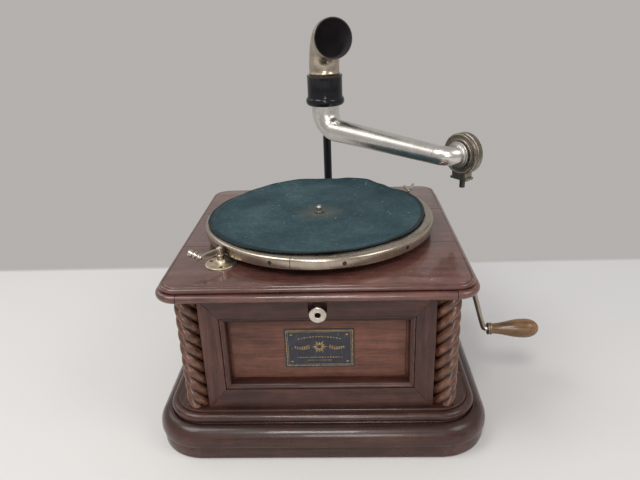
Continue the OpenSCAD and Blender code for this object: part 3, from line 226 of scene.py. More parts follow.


# painted shade on top of the large moulding, in the corner below the bead
def paintedShadeUnderBead(f):
    low, high = (base["ovoloTop"] - 7) / 100, base["ovoloTop"] / 100
    height = f.calc("MULTIPLY", f.axes(f.coords)["Z"], 10.0)
    band = f.ramp(height, [(low, 0.0), (high - 0.02, 0.7), (high, 0.7), (high + 0.008, 0.0)])
    return f.calc("MULTIPLY", band, f.clouds(60, 4, 0.6, [(0.3, 0.6), (0.6, 1.0)]))


# the frames' rails are a little darker than their stiles, and the left stile is the palest
def boardShade(f, axis):
    if axis != "z":
        return (0.84, 0.80, 0.78)
    side = f.calc("MULTIPLY", f.calc("ADD", f.axes(f.coords)["X"], 0.2), 2.5)
    return f.ramp(side, [(0.18, 1.55), (0.30, 1.0)])


def woodFinish(kind, axis):
    tones = woodTones[kind]
    f = Finish("wood_" + kind + "_" + axis)
    along = dict(x=(0.06, 1, 1), y=(1, 0.06, 1), z=(1, 1, 0.06))[axis]
    fine = tuple(0.8 * v if v < 1 else v for v in along)
    place = (0.31 * len(kind), 0.17 * ord(axis) % 1, 0.4)
    figure = f.noise(f.mapped(along, place), 125, 6, 0.66, 0.25)
    colour = f.ramp(figure, [(0.30, tones["dark"]), (0.50, tones["mid"]), (0.72, tones["light"])])
    # slow change of tone over the boards, and small blotches of old varnish
    stain = f.ramp(f.noise(f.mapped((1, 1, 1), place), 11, 3, 0.55), [(0.36, 0.76), (0.64, 1.14)])
    colour = f.mix(1.0, colour, stain, "MULTIPLY")
    blotch = f.ramp(f.noise(f.mapped((1, 1, 1), place), 75, 5, 0.65), [(0.36, 0.82), (0.66, 1.12)])
    colour = f.mix(1.0, colour, blotch, "MULTIPLY")
    pores = f.ramp(f.noise(f.mapped(fine, place), 900, 2, 0.5), [(0.36, 0.45), (0.47, 1.0)])
    colour = f.mix(0.6, colour, pores, "MULTIPLY")
    edge = f.worn()
    rubbed = f.calc("MULTIPLY", f.ramp(edge, [(0.15, 0.0), (0.70, tones["rub"])]),
                   f.clouds(150, 4, 0.6, [(0.40, 0.10), (0.66, 1.0)]))
    paler = tuple(min(1.0, v * 1.9 + 0.01) for v in tones["light"])
    colour = f.mix(rubbed, colour, paler)
    # grooves darkened: partly dirt, partly painted shade
    grooveDirtAndShade = f.ramp(f.calc("MULTIPLY", edge, -1.0), [(0.05, 0.0), (0.42, tones["grooveDirtAndShade"])])
    colour = f.mix(grooveDirtAndShade, colour, tuple(v * 0.30 for v in tones["dark"]))
    if kind == "base":
        # painted shade below the bead, darkening the top of the large moulding
        colour = f.mix(paintedShadeUnderBead(f), colour, tuple(v * 0.6 for v in tones["dark"]))
    if kind == "case":
        colour = f.mix(1.0, colour, boardShade(f, axis), "MULTIPLY")
    rough = f.clouds(30, 5, 0.6, [(0.3, tones["gloss"] - 0.06), (0.7, tones["gloss"] + 0.12)])
    normal = f.bump(pores, 0.18, 0.0002)
    normal = f.bump(f.noise(f.mapped(along, place), 190, 3, 0.5), 0.10, 0.0005, normal)
    f.shader.inputs["Coat IOR"].default_value = 1.45
    return f.done(colour, rough, 0.0, normal, tones["coat"], 0.07, level=0.4)


def platedFinish(name, tone, tarnish, low=0.16, high=0.38, spots=0.5, speck=0.8, dents=0.06,
                 stretch=(1, 1, 1)):
    f = Finish(name)
    cloud = f.noise(f.mapped(stretch), 38, 6, 0.62, 0.4)
    colour = f.mix(f.ramp(cloud, [(0.42, 0.0), (0.72, spots)]), tone, tarnish)
    specks = f.clouds(420, 3, 0.6, [(0.62, 0.0), (0.72, speck)])
    colour = f.mix(specks, colour, tuple(v * 0.5 for v in tarnish))
    rough = f.ramp(f.noise(f.mapped(stretch), 90, 5, 0.6), [(0.3, low), (0.7, high)])
    normal = f.bump(f.noise(f.mapped(), 260, 3, 0.5), dents, 0.0004)
    return f.done(colour, rough, 1.0, normal)


def enamelFinish(name, tone, chip):
    f = Finish(name)
    chips = f.clouds(210, 5, 0.65, [(0.68, 0.0), (0.71, 1.0)])
    worn = f.calc("MAXIMUM", f.calc("MULTIPLY", chips, 0.5), f.ramp(f.worn(), [(0.45, 0.0), (0.9, 0.6)]))
    colour = f.mix(worn, tone, chip)
    rough = f.clouds(60, 4, 0.6, [(0.3, 0.09), (0.7, 0.20)])
    normal = f.bump(f.noise(f.mapped(), 320, 3, 0.5), 0.05, 0.0005)
    return f.done(colour, rough, 0.0, normal, level=0.25)


def plainMetalFinish(name, tone, rough, streak=(1, 1, 1), metal=1.0):
    f = Finish(name)
    colour = f.mix(f.clouds(60, 4, 0.6, [(0.4, 0.0), (0.75, 0.6)]), tone, tuple(v * 0.55 for v in tone))
    lines = f.noise(f.mapped(streak), 900, 2, 0.5)
    return f.done(colour, f.ramp(lines, [(0.3, rough - 0.08), (0.7, rough + 0.12)]), metal,
                  f.bump(lines, 0.08, 0.0003))


def feltFinish():
    f = Finish("felt")
    cloud = f.noise(f.mapped(), 20, 6, 0.68)
    colour = f.ramp(cloud, [(0.34, (0.013, 0.036, 0.044)), (0.52, (0.026, 0.058, 0.068)),
                            (0.70, (0.050, 0.090, 0.097))])
    # rubbed along the turning direction: noise over radius and angle
    spot = f.axes(f.mapped((1, 1, 1), (0, -table["y"] / 1000, 0)))
    x, y = spot["X"], spot["Y"]
    radius = f.calc("SQRT", f.calc("ADD", f.calc("MULTIPLY", x, x), f.calc("MULTIPLY", y, y)))
    spun = f.point(X=f.calc("MULTIPLY", radius, 260.0), Y=f.calc("MULTIPLY", f.calc("ARCTAN2", y, x), 3.2))
    rubs = f.noise(spun, 1.0, 5, 0.6)
    colour = f.mix(f.ramp(rubs, [(0.52, 0.0), (0.74, 0.30)]), colour, (0.085, 0.125, 0.128))
    hair = f.noise(f.mapped(), 1500, 4, 0.7)
    colour = f.mix(0.6, colour, f.ramp(hair, [(0.35, 0.55), (0.65, 1.40)]), "MULTIPLY")
    # matted tufts, a little longer than they are wide
    tufts = f.noise(f.mapped((0.6, 1.3, 1), (0, 0, 0), (0, 0, 0.5)), 520, 5, 0.7, 0.6)
    colour = f.mix(0.8, colour, f.ramp(tufts, [(0.34, 0.55), (0.68, 1.50)]), "MULTIPLY")
    lint = f.ramp(f.cells(f.mapped((1, 1, 1), (0.013, 0.027, 0)), 120), [(0.070, 1.0), (0.12, 0.0)])
    patch = f.ramp(f.noise(f.mapped((1, 1, 1), (0.3, 0.1, 0)), 30, 3, 0.5), [(0.50, 0.0), (0.60, 0.75)])
    colour = f.mix(f.calc("MULTIPLY", lint, patch), colour, (0.46, 0.45, 0.38))
    # rubbed brown where a record's label sits
    halo = f.ramp(radius, [(0.004, 0.85), (0.009, 0.40), (0.032, 0.0)])
    ragged = f.clouds(90, 4, 0.6, [(0.35, 0.4), (0.65, 1.0)])
    colour = f.mix(f.calc("MULTIPLY", halo, ragged), colour, (0.15, 0.125, 0.085))
    edge = f.worn()
    colour = f.mix(f.ramp(edge, [(0.15, 0.0), (0.6, 0.8)]), colour, (0.010, 0.016, 0.018))
    normal = f.bump(hair, 0.6, 0.0007, f.bump(tufts, 0.5, 0.0012))
    normal = f.bump(cloud, 0.3, 0.002, normal)
    return f.done(colour, 0.95, 0.0, normal, sheen=0.06, level=0.1)


def leatherFinish():
    f = Finish("leather")
    grain = f.cells(f.mapped(), 1400)
    colour = f.clouds(200, 3, 0.5, [(0.35, (0.020, 0.011, 0.007)), (0.65, (0.050, 0.030, 0.019))])
    return f.done(colour, 0.72, 0.0, f.bump(grain, 0.4, 0.0003))


def rubberFinish():
    f = Finish("rubber")
    dust = f.clouds(300, 4, 0.6, [(0.4, (0.012, 0.012, 0.012)), (0.7, (0.035, 0.033, 0.031))])
    return f.done(dust, 0.8, 0.0, f.bump(f.noise(f.mapped(), 900, 2), 0.15, 0.0002))


def micaFinish():
    f = Finish("mica")
    flake = f.noise(f.mapped(), 240, 5, 0.6)
    colour = f.ramp(flake, [(0.35, (0.46, 0.42, 0.32)), (0.7, (0.62, 0.59, 0.50))])
    return f.done(colour, 0.18, 0.0, f.bump(flake, 0.12, 0.0003), 0.3)


def badgeFinish():
    f = Finish("badge")
    cloud = f.noise(f.mapped(), 120, 4, 0.6)
    colour = f.ramp(cloud, [(0.35, (0.008, 0.010, 0.020)), (0.7, (0.022, 0.024, 0.040))])
    scuff = f.ramp(f.noise(f.mapped((1, 1, 0.2)), 700, 3, 0.6), [(0.66, 0.0), (0.74, 0.6)])
    colour = f.mix(scuff, colour, (0.30, 0.24, 0.14))
    return f.done(colour, 0.34, 0.0, f.bump(cloud, 0.05, 0.0003), 0.2, 0.2)


def giltFinish():
    f = Finish("gilt")
    worn = f.noise(f.mapped(), 500, 4, 0.6)
    colour = f.ramp(worn, [(0.35, (0.20, 0.13, 0.05)), (0.55, (0.52, 0.38, 0.16)),
                           (0.75, (0.66, 0.50, 0.25))])
    return f.done(colour, f.ramp(worn, [(0.3, 0.32), (0.7, 0.5)]), 0.85)


# each wood is made once for each direction of its grain
wood = {}


def woodOf(kind, axis):
    if (kind, axis) not in wood:
        wood[kind, axis] = woodFinish(kind, axis)
    return wood[kind, axis]


nickel = platedFinish("worn_nickel", (0.66, 0.61, 0.53), (0.25, 0.19, 0.12), 0.20, 0.40)
plateNickel = platedFinish("brassy_nickel", (0.66, 0.585, 0.46), (0.40, 0.31, 0.19), 0.34, 0.55, 0.6)
dullNickel = platedFinish("dull_nickel", (0.34, 0.27, 0.20), (0.10, 0.065, 0.04), 0.28, 0.48, 0.9)
rimNickel = platedFinish("rim_nickel", (0.50, 0.435, 0.36), (0.24, 0.175, 0.12), 0.22, 0.32, 0.5, 0.25, 0.008,
                         (1, 1, 0.25))
armNickel = platedFinish("arm_nickel", (0.76, 0.74, 0.71), (0.46, 0.40, 0.34), 0.25, 0.33, 0.5, 0.4, 0.004)
elbowNickel = platedFinish("elbow_nickel", (0.55, 0.48, 0.39), (0.24, 0.17, 0.09), 0.20, 0.40, 0.7)
collarNickel = platedFinish("collar_nickel", (0.50, 0.49, 0.48), (0.26, 0.23, 0.20), 0.34, 0.46, 0.6, 0.4,
                            0.01)
boxNickel = platedFinish("soundbox_nickel", (0.31, 0.275, 0.23), (0.065, 0.050, 0.038), 0.24, 0.42, 0.85)
elbowInside = plainMetalFinish("elbow_inside", (0.040, 0.034, 0.036), 0.7, metal=0.0)
enamel = enamelFinish("black_enamel", (0.010, 0.010, 0.013), (0.07, 0.05, 0.04))
steel = plainMetalFinish("bare_steel", (0.34, 0.33, 0.32), 0.36)
darkSteel = plainMetalFinish("dark_steel", (0.10, 0.085, 0.07), 0.42)
brass = plainMetalFinish("cut_brass", (0.62, 0.44, 0.18), 0.30)
leather = leatherFinish()
rubber = rubberFinish()
mica = micaFinish()
badgeGround = badgeFinish()
gilt = giltFinish()
print("finishes made")


# faces over wideFace square metres stay plain; a bend of fullEdge radians counts as a whole edge
wear = dict(wideFace=6e-5, fullEdge=1.2)


# convexity of each vertex, for the rubbed edges and dirty corners
def markEdges(mesh):
    bm = bmesh.new()
    bm.from_mesh(mesh)
    values = []
    for v in bm.verts:
        if not v.link_faces or max(fc.calc_area() for fc in v.link_faces) > wear["wideFace"]:
            values.append(0.0)
            continue
        angles = [e.calc_face_angle_signed(0.0) for e in v.link_edges if len(e.link_faces) == 2]
        values.append(max(-1.0, min(1.0, sum(angles) / wear["fullEdge"])) if angles else 0.0)
    bm.free()
    layer = mesh.attributes.new("edge", "FLOAT", "POINT")
    layer.data.foreach_set("value", values)


def claim(obj, body, nodes=()):
    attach(obj, body)
    if nodes:
        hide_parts(*nodes)


# turns a bmesh in millimetres into a mesh in metres
def meshOf(bm, name, sharp=35):
    bm.transform(Matrix.Scale(0.001, 4))
    mesh = bpy.data.meshes.new(name)
    bm.to_mesh(mesh)
    bm.free()
    mesh.shade_smooth()
    mesh.set_sharp_from_angle(angle=turn(sharp))
    return mesh


# turns a bmesh in millimetres into a finished piece
def keep(bm, name, body, slotName, mats, nodes=(), sharp=35):
    mesh = meshOf(bm, name, sharp)
    for m in mats:
        mesh.materials.append(m)
    markEdges(mesh)
    obj = linked(name, mesh)
    claim(obj, body, nodes)
    return obj


# moves the faces of one bmesh into another
def merge(bm, part, place=Matrix.Identity(4)):
    mesh = bpy.data.meshes.new("part")
    part.to_mesh(mesh)
    part.free()
    mesh.transform(place)
    bm.from_mesh(mesh)
    bpy.data.meshes.remove(mesh)


# faces between loops of points, capped at both ends or closed into a ring
def addLoops(bm, loops, closedLoops=False, mat=0):
    rows = [[bm.verts.new(p) for p in loop] for loop in loops]
    n = len(loops[0])
    pairs = list(zip(rows, rows[1:])) + ([(rows[-1], rows[0])] if closedLoops else [])
    faces = [bm.faces.new((a[i], a[(i + 1) % n], b[(i + 1) % n], b[i])) for a, b in pairs for i in range(n)]
    if not closedLoops:
        faces += [bm.faces.new(rows[0][::-1]), bm.faces.new(rows[-1])]
    for fc in faces:
        fc.material_index = mat
    return faces


def addShell(bm, loops, closedLoops=False, mat=0):
    faces = addLoops(bm, loops, closedLoops, mat)
    bmesh.ops.recalc_face_normals(bm, faces=faces)
    return faces


def polar(radius, degrees, height=0.0):
    return Vector((radius * math.cos(turn(degrees)), radius * math.sin(turn(degrees)), height))


# spins a profile of (radius, height) points round the Z axis of place
def lathe(bm, profile, place=Matrix.Identity(4), steps=96, mat=0, arc=360.0, first=0.0):
    full = abs(arc - 360) < 1e-6
    loops = [[place @ polar(r, first + arc * i / steps, h) for r, h in profile]
             for i in range(steps if full else steps + 1)]
    before = set(bm.faces)
    faces = addLoops(bm, loops, full, mat)
    verts = list({v for fc in faces for v in fc.verts})
    bmesh.ops.remove_doubles(bm, verts=verts, dist=0.002)
    bmesh.ops.recalc_face_normals(bm, faces=[fc for fc in bm.faces if fc not in before])


# a piece that is one profile spun round the Z axis of place
def turnedPiece(profile, place, steps, *about, sharp=35):
    bm = bmesh.new()
    lathe(bm, profile, place, steps)
    return keep(bm, *about, sharp=sharp)


# small screw heads on a circle, in the second material
def addHeads(bm, profile, place, radius, height, angles, steps):
    for a in angles:
        lathe(bm, profile, place @ moved(polar(radius, a, height)), steps, mat=1)


def arcPoints(cx, cz, rx, rz, start, end, steps):
    angles = [turn(start + (end - start) * i / steps) for i in range(steps + 1)]
    return [(cx + rx * math.cos(a), cz + rz * math.sin(a)) for a in angles]


# rounds the corners of a profile, apart from those on the axis
def rounded(points, size, steps=3):
    out = []
    n = len(points)
    for i in range(n):
        a, b, c = Vector(points[i - 1]), Vector(points[i]), Vector(points[(i + 1) % n])
        ab, cb = (a - b), (c - b)
        cut = min(size, ab.length * 0.45, cb.length * 0.45)
        if cut < 0.01 or b.x < 0.001 or ab.angle(cb) > turn(165):
            out.append((b.x, b.y))
            continue
        p, q = b + ab.normalized() * cut, b + cb.normalized() * cut
        for k in range(steps + 1):
            t = k / steps
            m = p.lerp(b, t).lerp(b.lerp(q, t), t)
            out.append((m.x, m.y))
    return out


# a round rod along a path, or a tube where a wall is given; mats are its outside and its inside
def sweptTube(bm, path, radii, up=Vector((0, 0, 1)), wall=0.0, steps=64, mats=(0, 0)):
    last = len(path) - 1

    def ringAt(k, r):
        ahead = (path[min(k + 1, last)] - path[max(k - 1, 0)]).normalized()
        side = ahead.cross(up).normalized()
        other = side.cross(ahead).normalized()
        angles = [2 * math.pi * i / steps for i in range(steps)]
        return [path[k] + side * (r * math.cos(a)) + other * (r * math.sin(a)) for a in angles]
    loops = [ringAt(k, r) for k, r in enumerate(radii)]
    if wall:
        loops += [ringAt(k, radii[k] - wall) for k in range(last, -1, -1)]
    faces = addShell(bm, loops, closedLoops=bool(wall))
    if mats[0] != mats[1]:
        for fc in faces:
            c = fc.calc_center_median()
            k = min(range(len(path)), key=lambda i: (path[i] - c).length)
            if (c - path[k]).length < radii[k] - wall * 0.5:
                fc.material_index = mats[1]


def bevelled(bm, size, steps=2, angle=30):
    edges = [e for e in bm.edges if len(e.link_faces) == 2 and e.calc_face_angle(0.0) > turn(angle)]
    bmesh.ops.bevel(bm, geom=edges, offset=size, segments=steps, profile=0.6, affect="EDGES",
                    clamp_overlap=True)


def block(bm, low, high, mat=0):
    (x0, y0, z0), (x1, y1, z1) = low, high
    return addLoops(bm, [[Vector(p) for p in ((x0, y0, z), (x1, y0, z), (x1, y1, z), (x0, y1, z))]
                         for z in (z0, z1)], mat=mat)


# a CAD node's own shape with its edges softened
def softened(node, name, body, slotName, mats, size=0.5):
    bm = bmesh.new()
    bm.from_mesh(cad[node].data)
    bm.transform(Matrix.Scale(1000, 4))
    bmesh.ops.remove_doubles(bm, verts=bm.verts, dist=0.004)
    bmesh.ops.dissolve_limit(bm, angle_limit=turn(1.0), verts=bm.verts, edges=bm.edges)
    bevelled(bm, size)
    return keep(bm, name, body, slotName, mats, [node])


# a ring moulding of four mitred sides
def mouldedSides(bm, profile, width, depth, corner, joint=0.07, steps=14):
    for side in range(4):
        w, d = (width, depth) if side % 2 == 0 else (depth, width)
        straight = w / 2 - corner
        spin = spinBy(side * 90, "Z")
        stations = [(-1, -135 + 45 * i / steps) for i in range(steps + 1)]
        stations += [(1, -90 + 45 * i / steps) for i in range(steps + 1)]
        loops = []
        for end, a in stations:
            middle = Vector((end * straight, -(d / 2 - corner) - joint, 0))
            loops.append([spin @ (middle + polar(max(corner - inset, 0.4), a, z)) for inset, z in profile])
        addShell(bm, loops, mat=side % 2)


# runs a node tree on an empty mesh and returns the result as a mesh
def grown(tree, values):
    holder = linked("holder", bpy.data.meshes.new("holder"))
    mod = holder.modifiers.new("shape", "NODES")
    mod.node_group = tree
    for item in tree.interface.items_tree:
        if item.item_type == "SOCKET" and item.in_out == "INPUT" and item.name in values:
            mod[item.identifier] = values[item.name]
    bpy.context.view_layer.update()
    shape = holder.evaluated_get(bpy.context.evaluated_depsgraph_get())
    mesh = bpy.data.meshes.new_from_object(shape)
    bpy.data.objects.remove(holder)
    return mesh


# an empty geometry tree with named inputs
def newTree(name, inputs):
    tree = bpy.data.node_groups.new(name, "GeometryNodeTree")
    for label, kind in inputs.items():
        tree.interface.new_socket(label, in_out="INPUT", socket_type="NodeSocket" + kind)
    tree.interface.new_socket("Geometry", in_out="OUTPUT", socket_type="NodeSocketGeometry")
    g = Nodes(tree)
    return g, g.add("NodeGroupInput").outputs


# a tree ends in real faces that have their material
def endTree(g, geometry, material):
    real = g.add("GeometryNodeRealizeInstances")
    paint = g.add("GeometryNodeSetMaterial")
    g.put(real.inputs[0], geometry)
    g.put(paint.inputs[0], real.outputs[0])
    g.put(paint.inputs["Material"], material)
    g.put(g.add("NodeGroupOutput").inputs[0], paint.outputs[0])
    return g.tree


# mouldings are drawn as (distance in from the widest edge, height)
base = dict(
    width=345, depth=337, corner=52, ovoloTop=34,
    skirt=[(40, 0.0), (3.2, 0.0), (2.2, 1.1), (2.0, 2.0), (2.0, 13.2), (2.3, 14.0), (3.0, 14.4), (40, 14.4)],
    swell=[(40, 14.45), (1.6, 14.45), (0.7, 14.8), (0.15, 15.6), (0.0, 16.8)]
    + arcPoints(13.2, 18.6, -13.2, 15.4, 0, 90, 16)
    + [(13.6, 33.5), (14.2, 33.1), (15.6, 33.1), (16.2, 33.9), (40, 33.9)],
    bead=[(40, 34.0), (18.2, 34.0)] + arcPoints(18.2, 38.7, -4.7, 4.7, -90, 90, 14)[1:]
    + [(19.6, 43.3), (20.9, 43.0), (21.0, 44.4), (21.6, 45.15), (22.6, 45.2), (45, 45.2)])


def makeBase():
    mats = [woodOf("base", "x"), woodOf("base", "y")]
    for name, profile, node in (("baseSkirt", "skirt", "base_skirt"), ("baseSwell", "swell", "base_moulding"),
                                ("baseBead", "bead", "base_cap")):
        bm = bmesh.new()
        mouldedSides(bm, base[profile], base["width"], base["depth"], base["corner"])
        keep(bm, name, "base", "wood_base", mats, [node])
    softened("bottom_board", "bottomBoard", "base", "wood_base", mats[:1], 0.8)
    print("base made")


# panel profiles are drawn as (distance in from the opening, depth behind the frame's face)
case = dict(
    width=275, depth=287, bottom=45.2, height=126.3, board=16, stile=18.9, rail=22.2,
    frontWidth=226.7, sideWidth=238.7, seam=0.25,
    moulding=[(0.25, 9.4), (0.25, 1.6), (0.6, 1.0), (1.2, 0.8), (1.9, 1.0), (2.6, 1.5), (3.6, 1.9),
              (4.4, 2.2), (5.0, 2.8), (5.5, 3.9), (5.7, 5.2), (5.7, 9.4)],
    panel=[(0.3, 14.4), (0.3, 12.9), (7.7, 12.7), (8.1, 12.3), (8.2, 10.4), (8.5, 9.75), (9.2, 9.5)])
# the lock plate, its hole and the mortise behind it; up is above the case's bottom
lock = dict(
    x=1.2, y=-143.5, up=107.6, hole=2.9, notchWidth=18, notchDepth=6,
    plate=[(2.9, 0.02), (8.1, 0.02), (8.3, 0.25), (8.25, 0.9), (7.8, 1.35), (7.0, 1.5), (6.6, 1.35),
           (6.2, 1.3), (5.8, 1.5), (4.9, 1.6), (4.5, 1.42), (4.1, 1.42), (3.8, 1.6), (3.2, 1.55),
           (2.9, 1.25)])


# places a point across, up and behind the face of the case at one side
def facing(side, depthSize):
    spin = spinBy(side, "Z")

    def put(u, v, d):
        return spin @ Vector((u, -depthSize / 2 + d, case["bottom"] + v))
    return put


def member(bm, put, outline, near, far, mat):
    part = bmesh.new()
    addShell(part, [[put(u, v, d) for u, v in outline] for d in (near, far)], mat=mat)
    bevelled(part, 0.35)
    merge(bm, part)


def frameMembers(bm, put, width, notched):
    h, rail, seam, thick = case["height"], case["rail"], case["seam"], case["board"]
    half = width / 2
    inner = half - case["stile"]
    for m in (-1, 1):
        stile = [(m * half, 0.15), (m * half, h - 0.15), (m * inner, h - rail), (m * inner, rail)]
        member(bm, put, stile, 0.0, thick, 1)
    low = [(-half + seam, 0), (half - seam, 0), (inner - seam, rail), (-inner + seam, rail)]
    high = [(u, h - v) for u, v in low]
    member(bm, put, low, 0.0, thick, 0)
    if not notched:
        member(bm, put, high, 0.0, thick, 0)
        return
    # the front's top rail in two layers, the front one open for the lock's mortise and keyhole
    x, up, r, w, depth = lock["x"], lock["up"], lock["hole"], lock["notchWidth"] / 2, lock["notchDepth"]
    floor = up + r
    outline = [high[0], (x - w, h), (x - w, floor), (x - r, floor)] + arcPoints(x, up, r, r, 180, 360, 16)
    outline += [(x + r, floor), (x + w, floor), (x + w, h)] + high[1:]
    member(bm, put, outline, 0.0, depth, 0)
    member(bm, put, high, depth + 0.02, thick, 0)


def mouldingStrips(bm, put, width, mats):
    half, low, high = width / 2 - case["stile"], case["rail"], case["height"] - case["rail"]
    for side in range(4):
        loops = [[], []]
        for end, loop in zip((-1, 1), loops):
            for s, d in case["moulding"]:
                if side % 2 == 0:
                    u, v = end * (half - s - 0.1), low + s if side == 0 else high - s
                else:
                    u, v = s - half if side == 1 else half - s, low + s + 0.1 if end < 0 else high - s - 0.1
                loop.append(put(u, v, d))
        addShell(bm, loops, mat=mats[side % 2])


def fieldedPanel(bm, put, width):
    half, low, high = width / 2 - case["stile"], case["rail"], case["height"] - case["rail"]
    addShell(bm, [[put(s - half, low + s, d), put(half - s, low + s, d), put(half - s, high - s, d),
                   put(s - half, high - s, d)] for s, d in case["panel"]])


def makeCase():
    front, sides = [bmesh.new(), bmesh.new()], [bmesh.new(), bmesh.new()]
    strips = bmesh.new()
    for side, depthSize, width in ((0, case["depth"], case["frontWidth"]),
                                   (90, case["width"], case["sideWidth"]),
                                   (-90, case["width"], case["sideWidth"])):
        put = facing(side, depthSize)
        frame, panel = sides if side else front
        frameMembers(frame, put, width, not side)
        mouldingStrips(strips, put, width, (2, 1) if side else (0, 1))
        fieldedPanel(panel, put, width)
    x, y, z = [woodOf("case", axis) for axis in "xyz"]
    keep(front[0], "frontFrame", "base", "wood_case", [x, z], ["front_frame"])
    keep(sides[0], "sideFrames", "base", "wood_case", [y, z], ["side_frames"])
    keep(strips, "panelMouldings", "base", "wood_case", [x, z, y], ["panel_mouldings"], sharp=50)
    keep(front[1], "frontPanel", "base", "wood_panel", [woodOf("panel", "x")], ["front_panel"])
    keep(sides[1], "sidePanels", "base", "wood_panel", [woodOf("panel", "y")], ["side_panels"])
    softened("back_board", "backBoard", "base", "wood_case", [x])
    refinish("corner_posts", z)
    print("case made")


def makeLockPlate():
    place = moved((lock["x"], lock["y"], case["bottom"] + lock["up"])) @ spinBy(90, "X")
    turnedPiece(lock["plate"], place, 96, "lockPlate", "base", "fitting_nickel", [nickel], ["lock_plate"])
    print("lock plate made")


column = dict(radius=12.45, inset=11.6, strand=6.3, strands=4, lead=58.7, groove=1.3, shorter=0.4)


# a rope-twist column: a cylinder whose radius follows the strands
def ropeTree():
    g, given = newTree("ropeColumn", dict(Radius="Float", Strand="Float", Strands="Float", Lead="Float",
                                          Height="Float", Hand="Float", Groove="Float", Place="Vector",
                                          Material="Material"))
    body = g.add("GeometryNodeMeshCylinder", fill_type="NGON")
    g.put(body.inputs["Vertices"], 120)
    g.put(body.inputs["Side Segments"], 168)
    g.put(body.inputs["Radius"], 1.0)
    g.put(body.inputs["Depth"], given["Height"])
    spot = g.axes(g.add("GeometryNodeInputPosition").outputs[0])
    around = g.calc("ARCTAN2", spot["Y"], spot["X"])
    climb = g.calc("MULTIPLY", g.calc("DIVIDE", spot["Z"], given["Lead"]), 2 * math.pi)
    climb = g.calc("MULTIPLY", climb, given["Hand"])
    pitch = g.calc("DIVIDE", 2 * math.pi, given["Strands"])
    halfPitch = g.calc("MULTIPLY", pitch, 0.5)
    local = g.calc("FLOORED_MODULO", g.calc("SUBTRACT", around, climb), pitch)
    local = g.calc("SUBTRACT", local, halfPitch)
    centre = g.calc("SUBTRACT", given["Radius"], given["Strand"])
    along = g.calc("MULTIPLY", centre, g.calc("COSINE", local))
    off = g.calc("MULTIPLY", centre, g.calc("SINE", local))
    reach = g.calc("SUBTRACT", g.calc("MULTIPLY", given["Strand"], given["Strand"]),
                   g.calc("MULTIPLY", off, off))
    reach = g.calc("SQRT", g.calc("MAXIMUM", reach, 0.0))
    # the cut between two strands is a little deeper and sharper than round strands alone give
    edge = g.calc("POWER", g.calc("DIVIDE", g.calc("ABSOLUTE", local), halfPitch), 3.5)
    radius = g.calc("SUBTRACT", g.calc("ADD", along, reach), g.calc("MULTIPLY", edge, given["Groove"]))
    shift = g.add("ShaderNodeVectorMath", operation="ADD")
    g.put(shift.inputs[0], g.point(X=g.calc("MULTIPLY", spot["X"], radius),
                                   Y=g.calc("MULTIPLY", spot["Y"], radius), Z=spot["Z"]))
    g.put(shift.inputs[1], given["Place"])
    scale = g.add("ShaderNodeVectorMath", operation="SCALE")
    g.put(scale.inputs[0], shift.outputs[0])
    g.put(scale.inputs["Scale"], 0.001)
    move = g.add("GeometryNodeSetPosition")
    g.put(move.inputs["Geometry"], body.outputs["Mesh"])
    g.put(move.inputs["Position"], scale.outputs[0])
    return endTree(g, move.outputs[0], given["Material"])


def makeColumns():
    tree = ropeTree()
    x, y = case["width"] / 2 - column["inset"], case["depth"] / 2 - column["inset"]
    values = {key.title(): float(column[key]) for key in ("radius", "strand", "strands", "lead", "groove")}
    values.update({"Height": case["height"] - column["shorter"], "Material": woodOf("column", "z")})
    for name, hand, node in (("columnsLeft", -1, "columns_left"), ("columnsRight", 1, "columns_right")):
        bm = bmesh.new()
        for sy in (-1, 1):
            place = (hand * x, sy * y, case["bottom"] + case["height"] / 2)
            bm.from_mesh(grown(tree, {**values, "Hand": float(hand), "Place": place}))
        bm.transform(Matrix.Scale(1000, 4))
        bmesh.ops.recalc_face_normals(bm, faces=bm.faces)
        keep(bm, name, "base", "wood_column", [woodOf("column", "z")], [node], sharp=80)
    print("columns made")


# edge is drawn as (distance in from the rail's edge, height over the rail)
top = dict(
    width=308, depth=310, corner=24, railBottom=171.5, railRadius=4.1, boardTop=185.6,
    frontJoint=-49.5, backJoint=54.5, jointGap=0.35, sag=(0, 0.15, 0.55), cornerSteps=14,
    edge=[(12, -4.2), (12, -0.05), (7.0, 0.05)] + arcPoints(7.0, 2.75, -2.7, 2.7, -80, 80, 16)
    + [(7.6, 5.15), (8.2, 4.75), (8.5, 5.3), (9.0, 5.75), (9.8, 5.9)])


def roundedLoop(width, depth, corner, z, steps=10):
    x, y = width / 2 - corner, depth / 2 - corner
    return [Vector((cx, cy, z)) + polar(corner, start + 90 * i / steps)
            for cx, cy, start in ((x, y, 0), (-x, y, 90), (-x, -y, 180), (x, -y, 270))
            for i in range(steps + 1)]


